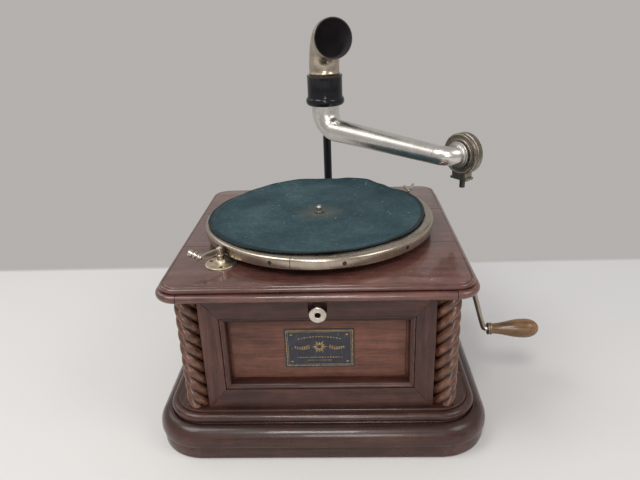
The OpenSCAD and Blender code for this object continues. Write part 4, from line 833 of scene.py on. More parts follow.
def makeTop():
    w, d, c, z0, r = top["width"], top["depth"], top["corner"], top["railBottom"], top["railRadius"]
    half = [(18, z0 + 0.1)] + arcPoints(r, z0 + r, -r, r, -90, 90, 18) + [(18, z0 + 2 * r)]
    # front strip, a little low at its right end
    bm = bmesh.new()
    addShell(bm, [[Vector((side * (w / 2 - c - 0.4), -(d / 2 - i), z - sag)) for i, z in half]
                  for side, sag in zip((-1, 0, 1), top["sag"])])
    keep(bm, "frontRail", "base", "wood_top", [woodOf("top", "x")], ["rail_front"])
    bm = bmesh.new()
    for spin, length, off, mat in ((180, w, d, 0), (90, d, w, 1), (270, d, w, 1)):
        turned = spinBy(spin, "Z")
        reach = length / 2 - c - 0.15
        addShell(bm, [[turned @ Vector((x, -(off / 2 - i), z)) for i, z in half] for x in (-reach, reach)],
                 mat=mat)
    for sx, sy, first in ((1, 1, 0), (-1, 1, 90), (-1, -1, 180), (1, -1, 270)):
        middle = Vector((sx * (w / 2 - c), sy * (d / 2 - c), 0))
        addShell(bm, [[middle + polar(c - i, first + 0.4 + 89.2 * k / top["cornerSteps"], z) for i, z in half]
                      for k in range(top["cornerSteps"] + 1)])
    keep(bm, "sideRails", "base", "wood_top", [woodOf("top", "x"), woodOf("top", "y")], ["rail_sides"])
    # the board, cut into three at its joints
    whole = bmesh.new()
    addShell(whole, [roundedLoop(w - 2 * i, d - 2 * i, max(c - i, 4), z0 + 2 * r + h)
                     for i, h in top["edge"]])
    cuts = [-400, top["frontJoint"], top["backJoint"], 400]
    bm = bmesh.new()
    for low, high in zip(cuts, cuts[1:]):
        part = whole.copy()
        for y, up in ((low + top["jointGap"], -1), (high - top["jointGap"], 1)):
            geom = list(part.verts) + list(part.edges) + list(part.faces)
            cut = bmesh.ops.bisect_plane(part, geom=geom, dist=0.001, plane_co=(0, y, 0), plane_no=(0, up, 0),
                                         clear_outer=True)
            rim = [e for e in cut["geom_cut"] if isinstance(e, bmesh.types.BMEdge)]
            if rim:
                bmesh.ops.edgeloop_fill(part, edges=rim)
        merge(bm, part)
    whole.free()
    bmesh.ops.recalc_face_normals(bm, faces=bm.faces)
    keep(bm, "topBoards", "base", "wood_top", [woodOf("top", "x")], ["top_board"])
    print("top made")


badge = dict(x=1.2, z=110.2, width=69, height=44, face=-134.8, line=0.55)


def makeBadge():
    bm = bmesh.new()
    w, h, x, z, face = badge["width"] / 2, badge["height"] / 2, badge["x"], badge["z"], badge["face"]
    block(bm, (x - w, face, z - h), (x + w, face + 0.75, z + h))
    bevelled(bm, 0.25)

    def strip(x0, z0, x1, z1):
        block(bm, (x + x0, face - 0.06, z + z0), (x + x1, face + 0.1, z + z1), mat=1)

    def dash(cx, cz, wide, high):
        strip(cx - wide / 2, cz - high / 2, cx + wide / 2, cz + high / 2)

    def leaf(cx, cz, angle, length, fat):
        c, q = math.cos(turn(angle)), math.sin(turn(angle))
        pts = [(0, 0), (0.35 * length, fat / 2), (length, 0), (0.35 * length, -fat / 2)]
        addLoops(bm, [[Vector((x + cx + u * c - v * q, face + d, z + cz + u * q + v * c)) for u, v in pts]
                      for d in (-0.06, 0.1)], mat=1)
    # double border line
    for inset, line in ((1.6, badge["line"]), (3.2, badge["line"] * 0.6)):
        u, v = w - inset, h - inset
        strip(-u, -v, u, line - v)
        strip(-u, v - line, u, v)
        strip(-u, line - v, line - u, v - line)
        strip(u - line, line - v, u, v - line)
    # rosette in the middle, a leaf spray at each side, rows of dashes and a lozenge in each corner
    for k in range(12):
        spot = polar(1.7, 30 * k)
        leaf(spot.x, 1.5 + spot.y, 30 * k, 4.6 if k % 2 else 6.2, 1.7)
    for side in (-1, 1):
        for k in range(7):
            for up in (-1, 1):
                leaf(side * (9.5 + 2.3 * k), 1.5 - 1.6 * math.sin(k * 0.5), (90 - side * 90) + side * up * 48,
                     3.6 - 0.25 * k, 1.15)
        for sz in (-1, 1):
            leaf(side * (w - 7) - 1.6, sz * (h - 6.6), 0, 3.2, 1.8)
    for count, pitch, size, height in ((17, 2.7, 1.5, -10.6), (11, 2.2, 1.1, -14.0)):
        for k in range(count):
            dash((k - (count - 1) / 2) * pitch, height, size, 0.8)
    for k in range(-7, 8):
        dash(2.9 * k, 13.2 - 0.006 * (2.9 * k) ** 2, 1.6, 0.9)
    bmesh.ops.recalc_face_normals(bm, faces=bm.faces)
    keep(bm, "frontPlate", "base", "badge", [badgeGround, gilt], ["badge_plate"])
    print("front plate made")


table = dict(x=0, y=-4.6, radius=127, bandLow=193.9, bandTop=204.9, spindle=4.2, pin=3.5, screws=11,
             firstScrew=20.8, screwUp=199,
             platter=[(3.6, 187.9), (18.5, 187.9), (19, 195.6), (125.3, 195.85), (125.3, 203.3),
                      (3.6, 203.3)])


def makeTurntable():
    centre = moved((table["x"], table["y"], 0))
    lo, hi, r = table["bandLow"], table["bandTop"], table["radius"]
    bm = bmesh.new()
    band = [(r - 1.4, lo), (r - 0.5, lo), (r - 0.2, lo + 0.4), (r - 0.1, lo + 1.0)]
    band += arcPoints(r - 3.2, hi - 3.4, 3.1, 3.4, 0, 90, 8)
    band += [(r - 11.6, hi), (r - 12, hi - 0.3), (r - 12, hi - 1.45), (r - 3.2, hi - 1.45)]
    band += arcPoints(r - 3.2, hi - 3.4, 1.8, 1.95, 90, 0, 6)[1:]
    # the band's two ends meet at the front
    lathe(bm, band, centre, steps=220, arc=359.75, first=259.3)
    keep(bm, "rimBand", "turntable", "rim_nickel", [rimNickel], ["rim_band"], sharp=40)
    turnedPiece(rounded(table["platter"], 0.6), centre, 160, "platter", "turntable", "platter_wood",
                [woodOf("platter", "x")], ["platter"])
    bm = bmesh.new()
    s, p = table["spindle"], table["pin"]
    pin = [(0, 203.0), (s, 203.0), (s, 207.2), (p, 207.25), (p, 211.2)]
    for a in range(10, 81, 10):
        c, q = math.cos(turn(a)), math.sin(turn(a))
        pin.append((p - 0.25 * (1 - c) - 1.5 * q ** 2, 211.2 + 2.9 * q))
    lathe(bm, pin + [(0, 214.1)], centre, steps=48)
    # shaft below the board, down to the motor's lower plate
    lathe(bm, [(0, 84), (3.55, 84), (3.55, 203), (0, 203)], centre, steps=48)
    keep(bm, "centrePin", "turntable", "rim_nickel", [nickel, steel])
    print("turntable made")


# the mat lies on the platter at its middle and on the band's top from bandAt outwards
matSheet = dict(inner=4.2, thick=1.9, rings=40, spokes=360, low=203.55, step=1.45, bandAt=108)
# how far the mat's edge stands up, and how far it reaches, round the turntable
edgeLift = [
    (0, 1.2), (12, 2.2), (28, 2.6), (42, 0.6), (52, 2.6), (62, 5.6), (72, 5.2), (82, 3.0), (92, 2.6),
    (105, 3.8), (118, 3.0), (132, 1.4), (145, 0.3), (160, 0.5), (175, 0.2), (200, 0.4), (220, 0.0),
    (240, 0.5), (258, 0.1), (275, 0.7), (290, 0.2), (305, 0.0), (318, 0.4), (332, 0.0), (346, 0.5)]
edgeReach = [
    (0, 118.0), (20, 119.4), (40, 120.0), (60, 121.0), (80, 121.4), (100, 122.2), (120, 122.4), (140, 121.6),
    (160, 122.8), (180, 123.8), (200, 124.0), (210, 122.4), (220, 121.4), (230, 120.4), (240, 118.6),
    (250, 117.2), (260, 115.2), (270, 113.8), (280, 113.2), (290, 112.6), (300, 111.8), (310, 112.6),
    (320, 114.6), (330, 116.0), (345, 116.4)]
felt = feltFinish()


def aroundValue(points, degrees):
    degrees %= 360
    for (a, va), (b, vb) in zip(points, points[1:] + [(points[0][0] + 360, points[0][1])]):
        if a <= degrees < b:
            t = (degrees - a) / (b - a)
            return va + (vb - va) * t * t * (3 - 2 * t)
    return points[0][1]


def edgeAt(degrees):
    wave, nick = noise.noise(polar(7, degrees, 3)), noise.noise(polar(26, degrees, 8))
    return aroundValue(edgeReach, degrees) + 0.7 * wave + 0.35 * nick


def matHeight(x, y, radius, share, degrees, upper):
    step = min(1.0, max(0.0, (radius - matSheet["bandAt"]) / 8))
    z = matSheet["low"] + matSheet["step"] * step * step * (3 - 2 * step)
    z += 0.35 * (noise.noise(Vector((x * 0.03, y * 0.03, 1.5))) + 0.5)
    z += aroundValue(edgeLift, degrees) * max(0.0, (share - 0.80) / 0.20) ** 2
    # the cut edge is a little thinner
    return z + upper * matSheet["thick"] * (1 - 0.55 * max(0.0, (share - 0.985) / 0.015))


def makeMat():
    bm = bmesh.new()
    inner, rings, spokes = matSheet["inner"], matSheet["rings"], matSheet["spokes"]
    layers = []
    for upper in (0, 1):
        layer = []
        for k in range(rings + 1):
            ring = []
            for i in range(spokes):
                a, share = 360 * i / spokes, k / rings
                r = inner + (edgeAt(a) - inner) * share
                x, y = r * math.cos(turn(a)), r * math.sin(turn(a))
                ring.append(Vector((table["x"] + x, table["y"] + y, matHeight(x, y, r, share, a, upper))))
            layer.append(ring)
        layers.append(layer)
    addShell(bm, layers[1] + layers[0][::-1], closedLoops=True)
    piece = keep(bm, "feltMat", "turntable", "felt", [felt], ["mat"], sharp=60)
    spread = sum(edgeAt(a) ** 2 - inner ** 2 for a in range(360)) * math.pi / 360 / 1e6
    print("mat made")


rimScrew = dict(headRadius=2.6, headHeight=0.5, shank=1.15, length=7.0)


# a screw pattern repeated round a circle, each head facing outwards with its slot turned by chance
def screwRingTree():
    g, given = newTree("screwRing", {"Screw": "Object", "Count": "Int", "Radius": "Float", "First": "Float",
                                     "Centre": "Vector", "Slot Seed": "Int", "Material": "Material"})
    line = g.add("GeometryNodeMeshLine")
    g.put(line.inputs["Count"], given["Count"])
    number = g.add("GeometryNodeInputIndex").outputs[0]
    angle = g.calc("DIVIDE", g.calc("MULTIPLY", number, 2 * math.pi), given["Count"])
    angle = g.calc("ADD", angle, given["First"])
    move = g.add("GeometryNodeSetPosition")
    g.put(move.inputs["Geometry"], line.outputs[0])
    g.put(move.inputs["Position"], g.point(X=g.calc("MULTIPLY", g.calc("COSINE", angle), given["Radius"]),
                                           Y=g.calc("MULTIPLY", g.calc("SINE", angle), given["Radius"])))
    g.put(move.inputs["Offset"], given["Centre"])
    screw = g.add("GeometryNodeObjectInfo")
    g.put(screw.inputs["Object"], given["Screw"])
    chance = g.add("FunctionNodeRandomValue", data_type="FLOAT")
    g.put(chance.inputs[3], math.pi)
    g.put(chance.inputs["Seed"], given["Slot Seed"])
    copies = g.add("GeometryNodeInstanceOnPoints")
    g.put(copies.inputs["Points"], move.outputs[0])
    g.put(copies.inputs["Instance"], screw.outputs["Geometry"])
    g.put(copies.inputs["Rotation"], g.point(X=chance.outputs[1], Z=angle))
    return endTree(g, copies.outputs[0], given["Material"])


# a round-head screw whose head faces +X, in metres; a sunk bar stands for the slot's walls
def slottedScrew(headRadius, headHeight, shank, length):
    bm = bmesh.new()
    dome = [(0, -length), (shank, -length), (shank, 0), (headRadius, 0.0), (headRadius, headHeight * 0.35),
            (headRadius * 0.85, headHeight * 0.8), (headRadius * 0.5, headHeight), (0, headHeight)]
    lathe(bm, dome, spinBy(90, "Y"), steps=28)
    block(bm, (headHeight * 0.72, -headRadius * 0.8, -0.3), (headHeight * 1.04, headRadius * 0.8, 0.3))
    return linked("screwPattern", meshOf(bm, "screw"))


def makeRimScrews():
    screw = slottedScrew(**rimScrew)
    mesh = grown(screwRingTree(), {
        "Screw": screw, "Count": table["screws"], "Radius": (table["radius"] - 0.5) / 1000,
        "First": turn(table["firstScrew"]), "Slot Seed": 5, "Material": darkSteel,
        "Centre": (table["x"] / 1000, table["y"] / 1000, table["screwUp"] / 1000)})
    obj = linked("rimScrews", mesh)
    bpy.data.objects.remove(screw)
    claim(obj, "turntable", ["rim_screws"])
    print("rim screws made")


# plate and handle are drawn as (radius, height); reach is from the pivot to the handle's root
brake = dict(
    x=-96.6, y=-95.5, stripLow=196.4, stripHeight=6.5, stripLength=24.4, stripBow=0.9, reach=22,
    stripSteps=24, screwCircle=11.6,
    plate=[(0, 0), (15.7, 0), (16, 0.3), (15.9, 1.0), (15.2, 1.5), (14.0, 1.6), (7.6, 1.6), (7.2, 1.75),
           (7.1, 2.2), (6.6, 3.6), (5.6, 5.0), (4.4, 5.8), (3.6, 6.0), (0, 6.0)],
    stem=[(0, 5.9), (1.95, 5.9), (1.95, 18.2), (1.5, 18.8), (0, 18.8)],
    screw=[(0, -0.1), (1.9, -0.1), (1.7, 0.35), (0.9, 0.6), (0, 0.62)],
    handle=[(0, -1.0), (2.6, -1.0), (2.7, 0.1), (3.6, 0.5), (3.8, 1.4), (3.7, 2.7), (3.2, 3.3), (2.5, 3.7),
            (2.6, 4.2), (3.6, 4.7), (3.8, 5.6), (3.7, 6.8), (3.2, 7.4), (2.5, 7.8), (2.6, 8.3), (3.6, 8.8),
            (3.8, 9.9), (3.7, 11.6), (3.2, 12.9), (2.0, 13.8), (0, 14)])


def makeBrake():
    x, y, z = brake["x"], brake["y"], top["boardTop"]
    centre = moved((x, y, 0))
    onTop = moved((x, y, z))
    bm = bmesh.new()
    lathe(bm, brake["plate"], onTop, steps=72)
    lathe(bm, brake["stem"], onTop, steps=32)
    addHeads(bm, brake["screw"], onTop, brake["screwCircle"], 1.6, (40, 160, 280), 20)
    keep(bm, "brakePlate", "base", "fitting_nickel", [plateNickel, darkSteel], ["brake_plate"])
    inward = math.atan2(table["y"] - y, table["x"] - x)
    lever = centre @ Matrix.Rotation(inward, 4, "Z")
    lo, hi = brake["stripLow"], brake["stripLow"] + brake["stripHeight"]
    bm = bmesh.new()
    hub = [(2.08, z + 6.3), (3.6, z + 6.3), (3.7, lo - 0.4), (3.3, lo), (3.3, hi + 0.3), (2.9, hi + 0.6),
           (2.08, hi + 0.6)]
    lathe(bm, hub, lever, steps=40)
    # strip on edge: follows a shallow S and tapers towards the handle
    loops = []
    for k in range(brake["stripSteps"] + 1):
        t = k / brake["stripSteps"]
        along, side = 2.9 - brake["stripLength"] * t, brake["stripBow"] * math.sin(t * 5.2)
        middle = Vector((along, side, (lo + hi) / 2 + 0.4 * t))
        h, th = (hi - lo) * (1 - 0.18 * t) / 2, 0.95 + 0.25 * t
        # rounded keeps points near its axis sharp, so the section is rounded well away from it
        ring = rounded([(50 - th, -h), (50 + th, -h), (50 + th, h), (50 - th, h)], 0.45, 2)
        loops.append([lever @ (middle + Vector((0, u - 50, v))) for u, v in ring])
    addShell(bm, loops)
    keep(bm, "brakeLever", "brake", "fitting_nickel", [nickel], ["brake_lever"])
    root = lever @ Vector((-brake["reach"], 0, (lo + hi) / 2))
    place = moved(root) @ spinBy(165, "Z") @ spinBy(70, "Y")
    turnedPiece(brake["handle"], place, 40, "brakeHandle", "brake", "fitting_nickel", [nickel],
                ["brake_handle"])
    softened("brake_pad", "brakePad", "brake", "leather", [leather], 0.35)
    print("brake made")


# plate and stem are drawn as (radius, height over the board); wing is drawn from the head's top down
regulator = dict(
    x=112, y=95, crest=19.5, lean=30, wingHalf=0.8, cam=(-5.27, 25.31), camReach=6,
    plate=[(2.3, 0), (8.8, 0), (9, 0.3), (8.7, 1.0), (7.6, 1.35), (3.4, 1.4), (2.3, 1.4)],
    stem=[(0, -16.7), (8, -16.7), (8, -14.7), (2.2, -14.7), (2.2, 1.7), (5, 1.7), (5, 2.2), (4.6, 5.2),
          (3.4, 5.9), (2.2, 6.4), (2.2, 10.9), (0, 11.1)],
    wing=[(2.6, -9.6), (5.6, -6.4), (8.3, -1.8), (7.9, -0.2), (6.2, -0.1), (3.9, -2.6), (1.6, -4.1)])


def makeRegulator():
    x, y, z = regulator["x"], regulator["y"], top["boardTop"]
    onTop = moved((x, y, z))
    turnedPiece(regulator["plate"], onTop, 56, "regulatorPlate", "base", "fitting_nickel", [nickel],
                ["regulator_plate"])
    bm = bmesh.new()
    lathe(bm, regulator["stem"], onTop, steps=40)
    # winged head: two ears with a dip between them
    lean = onTop @ spinBy(regulator["lean"], "Z")
    left = [(-u, v) for u, v in reversed(regulator["wing"])]
    outline = left[-1:] + regulator["wing"] + left[:-1]
    half, crest = regulator["wingHalf"], regulator["crest"]
    part = bmesh.new()
    addShell(part, [[lean @ Vector((u, s * half, crest + v)) for u, v in outline] for s in (-1, 1)])
    bevelled(part, 0.45, 2, 50)
    merge(bm, part)
    # pin under the stem that pushes the lever
    away = math.degrees(math.atan2(y - regulator["cam"][1], x - regulator["cam"][0]))
    spot = Vector((x, y, 0)) - polar(regulator["camReach"], away)
    lathe(bm, [(0, 164.6), (1.5, 164.6), (1.5, 169), (0, 169)], moved(spot), steps=24)
    keep(bm, "regulatorKnob", "regulator", "fitting_nickel", [nickel], ["regulator_knob"])
    print("regulator made")


# profiles are drawn as (radius, distance from the case's middle), the grip's from its own root
crank = dict(
    z=105, length=64.2, dip=18.8, rod=2.9, x=180.3, bend=3.4, eye=3.4, gripX=184.0, gripLength=56,
    gripRadius=10.4, neck=5.7, swellAt=0.66, fullAt=0.72, ferruleLength=4.5, screwCircle=11.4,
    plate=[(5.06, 128.0), (13.6, 128.0), (14, 128.3), (13.8, 129.1), (12.6, 129.7), (9.4, 129.8),
           (8.2, 130.4), (7.2, 131.4), (7.0, 136.4), (6.6, 137.0), (5.06, 137.0)],
    bush=[(5.06, 123.1), (6.95, 123.1), (6.95, 128.1), (5.06, 128.1)],
    screw=[(0, -0.2), (1.6, -0.2), (1.4, 0.3), (0, 0.5)],
    pin=[(0, -6.2), (1.3, -6.2), (1.5, -5.9), (1.5, 5.9), (1.3, 6.2), (0, 6.2)],
    ferrule=[(3.0, 0.02), (6.1, 0.02), (6.6, 0.4), (6.75, 1.2), (6.4, 1.9), (6.3, 2.4), (6.65, 3.0),
             (6.7, 3.8), (6.3, 4.5), (3.0, 4.5)])


def makeCrank():
    x, z, dip, length, bend = crank["x"], crank["z"], turn(crank["dip"]), crank["length"], crank["bend"]
    outX = spinBy(90, "Y")
    shaftAt = moved((0, 0, z)) @ outX
    bm = bmesh.new()
    lathe(bm, crank["plate"], shaftAt, steps=64)
    addHeads(bm, crank["screw"], shaftAt, crank["screwCircle"], 129.7, (90, 210, 330), 18)
    lathe(bm, crank["bush"], shaftAt, steps=64)
    keep(bm, "crankEscutcheon", "base", "fitting_nickel", [nickel, darkSteel], ["crank_escutcheon"])
    bm = bmesh.new()
    end = x + crank["eye"]
    shaft = [(0, 86.2), (4.6, 86.2), (5, 86.6), (5, 138.4), (5.0, 139), (4.85, 139.4), (4.85, end - 6.8),
             (5.0, end - 6.4), (5.0, end - 0.6), (4.4, end), (0, end)]
    lathe(bm, shaft, shaftAt, steps=48)
    # arm: a round rod, thicker at its eye and bent outwards into the grip's pin
    tilt = moved((0, 0, z)) @ Matrix.Rotation(dip, 4, "X")
    path = [Vector((x - 0.6, y, 0)) for y in (0, -9, -26, -44)] + [Vector((x, bend - length, 0))]
    path += [Vector((x + bend, bend - length, 0)) - polar(bend, a) for a in range(15, 91, 15)]
    path.append(Vector((crank["gripX"] + crank["gripLength"] - 3.4, -length, 0)))
    radii = [crank["rod"] + more for more in (0.9, 0.35, 0.05, -0.05)] + [crank["rod"]] * 8
    sweptTube(bm, [tilt @ p for p in path], radii, steps=32)
    # pin that holds the arm on the shaft
    lathe(bm, crank["pin"], moved((x, 0, z)), steps=20)
    keep(bm, "crankArm", "crank", "fitting_nickel", [nickel], ["crank_arm"])
    gripAt = moved((crank["gripX"], -length * math.cos(dip), z - length * math.sin(dip))) @ outX
    turnedPiece(crank["ferrule"], gripAt, 48, "gripFerrule", "grip", "fitting_nickel", [dullNickel],
                ["grip_ferrule"])
    # the grip swells from its neck to its full width, and then rounds off
    f, n, r = crank["ferruleLength"], crank["neck"], crank["gripRadius"]
    body, full, steps = crank["gripLength"] - f, crank["fullAt"], 18
    pear = [(3.0, f + 0.05), (n, f + 0.05)]
    for k in range(1, steps + 1):
        t = full * k / steps
        swell = (1 - math.cos(math.pi * min(t / crank["swellAt"], 1))) / 2
        pear.append((n + (r - n) * swell, f + t * body))
    pear += arcPoints(0, f + full * body, r, (1 - full) * body, 6, 84, 13)
    pear += [(0, f + body), (0, f + body - 1.0), (3.0, f + body - 3.2)]
    turnedPiece(pear, gripAt, 72, "crankGrip", "grip", "grip_wood", [woodOf("grip", "x")], ["crank_grip"],
                sharp=60)
    print("crank made")


bracket = dict(x=6, footUp=58, rodY=200, rodRadius=5.65, rodBend=25, rodTop=26, ringY=172, ringLow=296.5,
               ringHeight=39.5, ringRadius=23.4, beadRadius=25.9,
               boss=[(5.72, 4), (9.1, 4), (9.25, 28), (0, 28), (0, 26.2), (5.72, 26.2)])


def makeBracket():
    softened("bracket_foot", "bracketFoot", "base", "enamel_black", [enamel], 0.7)
    softened("bracket_screws", "bracketScrews", "base", "steel", [darkSteel], 0.25)
    x, low, yr, b = bracket["x"], case["bottom"] + bracket["footUp"], bracket["rodY"], bracket["rodBend"]
    y0, high = case["depth"] / 2 + 6, bracket["ringLow"] + bracket["rodTop"]
    path = [Vector((x, y0 + t * (yr - b - y0), low)) for t in (0, 0.5, 1)]
    path += [Vector((x, yr - b + b * math.sin(turn(a)), low + b - b * math.cos(turn(a))))
             for a in range(10, 91, 10)]
    path += [Vector((x, yr, low + b + t * (high - low - b))) for t in (0.3, 0.6, 1)]
    bm = bmesh.new()
    sweptTube(bm, path, [bracket["rodRadius"]] * len(path), Vector((1, 0, 0)), steps=48)
    keep(bm, "bracketRod", "base", "enamel_black", [enamel], ["bracket_rod"])
    bm = bmesh.new()
    r, bead, h = bracket["ringRadius"], bracket["beadRadius"], bracket["ringHeight"]
    ring = [(18.42, 0.3), (19.0, 0), (bead - 3.4, 0)] + arcPoints(bead - 4.2, 5.6, 4.2, 5.6, -75, 60, 15)
    ring += [(r + 0.25, 11.6), (r, 12.4), (r, h - 3.4), (r + 0.3, h - 2.6), (r + 0.2, h - 0.7), (r - 0.5, h),
             (20.6, h), (19.97, h - 0.6), (19.97, 25.5), (19.37, 25.5), (19.37, 13.5), (18.42, 13.5)]
    z = bracket["ringLow"]
    lathe(bm, ring, moved((x, bracket["ringY"], z)), steps=96)
    lathe(bm, rounded(bracket["boss"], 0.7), moved((x, yr, z)), steps=48)
    web = bmesh.new()
    block(web, (x - 6.6, bracket["ringY"] + r - 2.6, z + 5), (x + 6.6, yr - 6.4, z + 27))
    bevelled(web, 1.2, 3)
    merge(bm, web)
    keep(bm, "bracketRing", "base", "enamel_black", [enamel], ["bracket_ring"])
    print("bracket made")


arm = dict(z=264.5, angle=51.9, length=220, neck=18.35, near=14.9, far=10.7, neckBend=25, crookBend=14,
           wall=1.2, neckTop=24.3, collar=13.7, bendSteps=28, crookSteps=24)
armFrame = (moved((bracket["x"], bracket["ringY"], arm["z"]))
            @ spinBy(-arm["angle"], "Z"))
armTip = armFrame @ moved((arm["length"], 0, 0))
sideways = spinBy(-90, "X")


def makeTonearm():
    b, c, wall = arm["neckBend"], arm["crookBend"], arm["wall"]
    neckRadius, near, far = arm["neck"], arm["near"], arm["far"]
    bore = neckRadius - wall
    high, collar = [bracket["ringLow"] + arm[part] - arm["z"] for part in ("neckTop", "collar")]
    neck = [(18.3, b - 0.02), (neckRadius, b + 1), (neckRadius, collar), (19.3, collar), (19.3, collar + 3),
            (neckRadius, collar + 3), (neckRadius, high), (bore, high), (bore, b - 0.02)]
    turnedPiece(neck, armFrame, 80, "armNeck", "tonearm", "arm_nickel", [armNickel], ["tonearm_neck"])
    bm = bmesh.new()
    steps = arm["bendSteps"]
    path = [armFrame @ Vector((b - u, 0, b - v)) for u, v in arcPoints(0, 0, b, b, 0, 90, steps)]
    radii = [neckRadius + (near - neckRadius) * (1 - math.cos(math.pi * k / steps)) / 2
             for k in range(steps + 1)]
    sweptTube(bm, path, radii, armFrame.to_3x3() @ Vector((0, 1, 0)), wall, 72)
    keep(bm, "armBend", "tonearm", "arm_nickel", [armNickel], ["tonearm_bend"])
    length = arm["length"] - c - b
    tube = [(near + (far - near) * t, length * t) for t in (0, 0.1, 0.3, 0.5, 0.7, 0.9, 1)]
    tube += [(far - wall, length), (near - wall, 0.0)]
    turnedPiece(tube, armFrame @ moved((b, 0, 0)) @ spinBy(90, "Y"), 80, "armTube", "tonearm", "arm_nickel",
                [armNickel], ["tonearm_tube"])
    bm = bmesh.new()
    path = [armTip @ Vector((v - c, c - u, 0)) for u, v in arcPoints(0, 0, c, c, 0, 90, arm["crookSteps"])]
    sweptTube(bm, path, [far] * len(path), armFrame.to_3x3() @ Vector((0, 0, 1)), wall + 1, 64)
    # collar of three turned rings that the sound box turns in
    rings = [(9.5, c - 0.6), (11.4, c - 0.6), (12.0, c - 0.1), (12.3, c + 0.6), (12.6, c + 0.9),
             (14.0, c + 1.1), (14.5, c + 1.7), (14.5, c + 3.2), (14.2, c + 3.9), (13.6, c + 4.5),
             (9.5, c + 4.5)]
    lathe(bm, rings, armTip @ sideways, steps=72, mat=1)
    keep(bm, "armCrook", "tonearm", "arm_nickel", [armNickel, collarNickel], ["tonearm_crook"])
    print("tonearm made")


# profiles are drawn as (radius, distance from the shell's back); the screw's from the block's middle
soundbox = dict(
    offset=18.9, thickness=13, blockWidth=22, blockDrop=29, screwCircle=21.2, screwDrop=3.4,
    shell=[(7.4, -4.5), (9.4, -4.5), (9.4, 0.2), (13.8, 0.1), (16.0, 0.1), (16.6, 0.7), (17.6, 0.9),
           (19.4, 0.9), (20.4, 0.3), (21.6, 0.1), (22.6, 0.6), (23, 1.8), (23, 3.4), (22.4, 4.0),
           (22.3, 5.0), (23, 5.6), (23, 11.2), (22.7, 12.2), (21.8, 12.9), (20.6, 13), (20.0, 12.4),
           (19.8, 11.4), (19.8, 2.6), (7.4, 2.6)],
    clamp=[(0, -0.4), (1.35, -0.4), (1.3, 0.35), (0.7, 0.6), (0, 0.6)],
    knob=[(0, 1.2), (1.2, 1.2), (1.2, 3.4), (1.8, 3.5), (1.8, 4.7), (1.95, 4.9), (2.1, 5.3), (2.1, 7.4),
          (1.8, 7.9), (0, 8)])


def makeSoundbox():
    o, t, w, drop = soundbox["offset"], soundbox["thickness"], soundbox["blockWidth"], soundbox["blockDrop"]
    across = armTip @ sideways @ moved((0, 0, o))
    bm = bmesh.new()
    lathe(bm, soundbox["shell"], across, steps=96)
    addHeads(bm, soundbox["clamp"], across, soundbox["screwCircle"], t - 0.6, (30, 150, 270), 18)
    # block under the shell and its foot plate
    part = bmesh.new()
    block(part, (-w / 2 + 1.8, o + 0.6, -drop + 2.4), (w / 2 - 1.8, o + t - 0.8, -15.5))
    block(part, (-w / 2, o, -drop), (w / 2, o + t, -drop + 2.5))
    bevelled(part, 0.5)
    merge(bm, part, armTip)
    keep(bm, "soundboxCase", "soundbox", "arm_nickel", [boxNickel, darkSteel], ["soundbox_case"])
    softened("needle_bar", "needleBar", "soundbox", "steel", [darkSteel], 0.2)
    screwAt = armTip @ moved((0, o + t / 2 + 1.6, -(drop + soundbox["screwDrop"]))) @ sideways
    turnedPiece(soundbox["knob"], screwAt, 24, "needleScrew", "needle_screw", "arm_nickel", [darkSteel],
                ["needle_screw"])
    print("sound box made")


elbow = dict(radius=19.9, mouth=25.2, mouthLength=8, bend=36, angle=84, turned=19.5, rise=10.4, wall=1.2,
             foot=25.7, steps=30, flare=2.4)


def makeElbow():
    rise, r0, r1, b, steps = elbow["rise"], elbow["radius"], elbow["mouth"], elbow["bend"], elbow["steps"]
    z0 = bracket["ringLow"] + bracket["ringHeight"] + rise
    turned = spinBy(elbow["turned"], "Z")
    place = moved((bracket["x"], bracket["ringY"], z0)) @ turned
    low = bracket["ringLow"] + elbow["foot"] - z0
    # straight neck with a bead over the ring, then the bend that widens towards the mouth
    path = [Vector((0, 0, z)) for z in (low, low * 0.6, 0.6 - rise, 1.2 - rise, 2.6 - rise, 3.2 - rise, -3)]
    radii = [r0, r0, r0, r0 + 0.5, r0 + 0.5, r0, r0]
    for k in range(steps + 1):
        a = turn(elbow["angle"] * k / steps)
        path.append(Vector((0, b * math.cos(a) - b, b * math.sin(a))))
        radii.append(r0 + (r1 - r0) * (k / steps) ** elbow["flare"])
    out, end = Vector((0, -math.sin(a), math.cos(a))), path[-1]
    path += [end + out * s for s in (2.5, 5.2, 6.0, 7.4, elbow["mouthLength"])]
    radii += [r1, r1, r1, r1, r1 - 0.25]
    bm = bmesh.new()
    up = place.to_3x3() @ Vector((1, 0, 0))
    sweptTube(bm, [place @ p for p in path], radii, up, elbow["wall"], 80, (0, 1))
    keep(bm, "hornElbow", "elbow", "elbow_nickel", [elbowNickel, elbowInside],
         ["elbow_neck", "horn_elbow", "elbow_mouth"], sharp=50)
    print("horn elbow made")


# pieces that keep their CAD form, nearly all of them out of sight
innerFinish = [
    (steel, ("motor_plates", "spring_barrel", "barrel_arbor", "governor_shaft", "regulator_link", "spindle")),
    (darkSteel, ("motor_pillars", "mainspring", "click")),
    (brass, ("governor_wheel", "winding_pinion", "crown_wheel", "second_wheel", "governor_weights")),
    (rubber, ("soundbox_gaskets",)),
    (mica, ("diaphragm",)),
]


def refinish(node, mat):
    mats = cad[node].data.materials
    mats.clear()
    mats.append(mat)


def finishInner():
    for mat, nodes in innerFinish:
        for node in nodes:
            refinish(node, mat)
    print("inner pieces finished")


makeBase()
makeCase()
makeColumns()
makeTop()
makeBadge()
makeLockPlate()
makeTurntable()
makeMat()
makeRimScrews()
makeBrake()
makeRegulator()
makeCrank()
makeBracket()
makeTonearm()
makeSoundbox()
makeElbow()
finishInner()

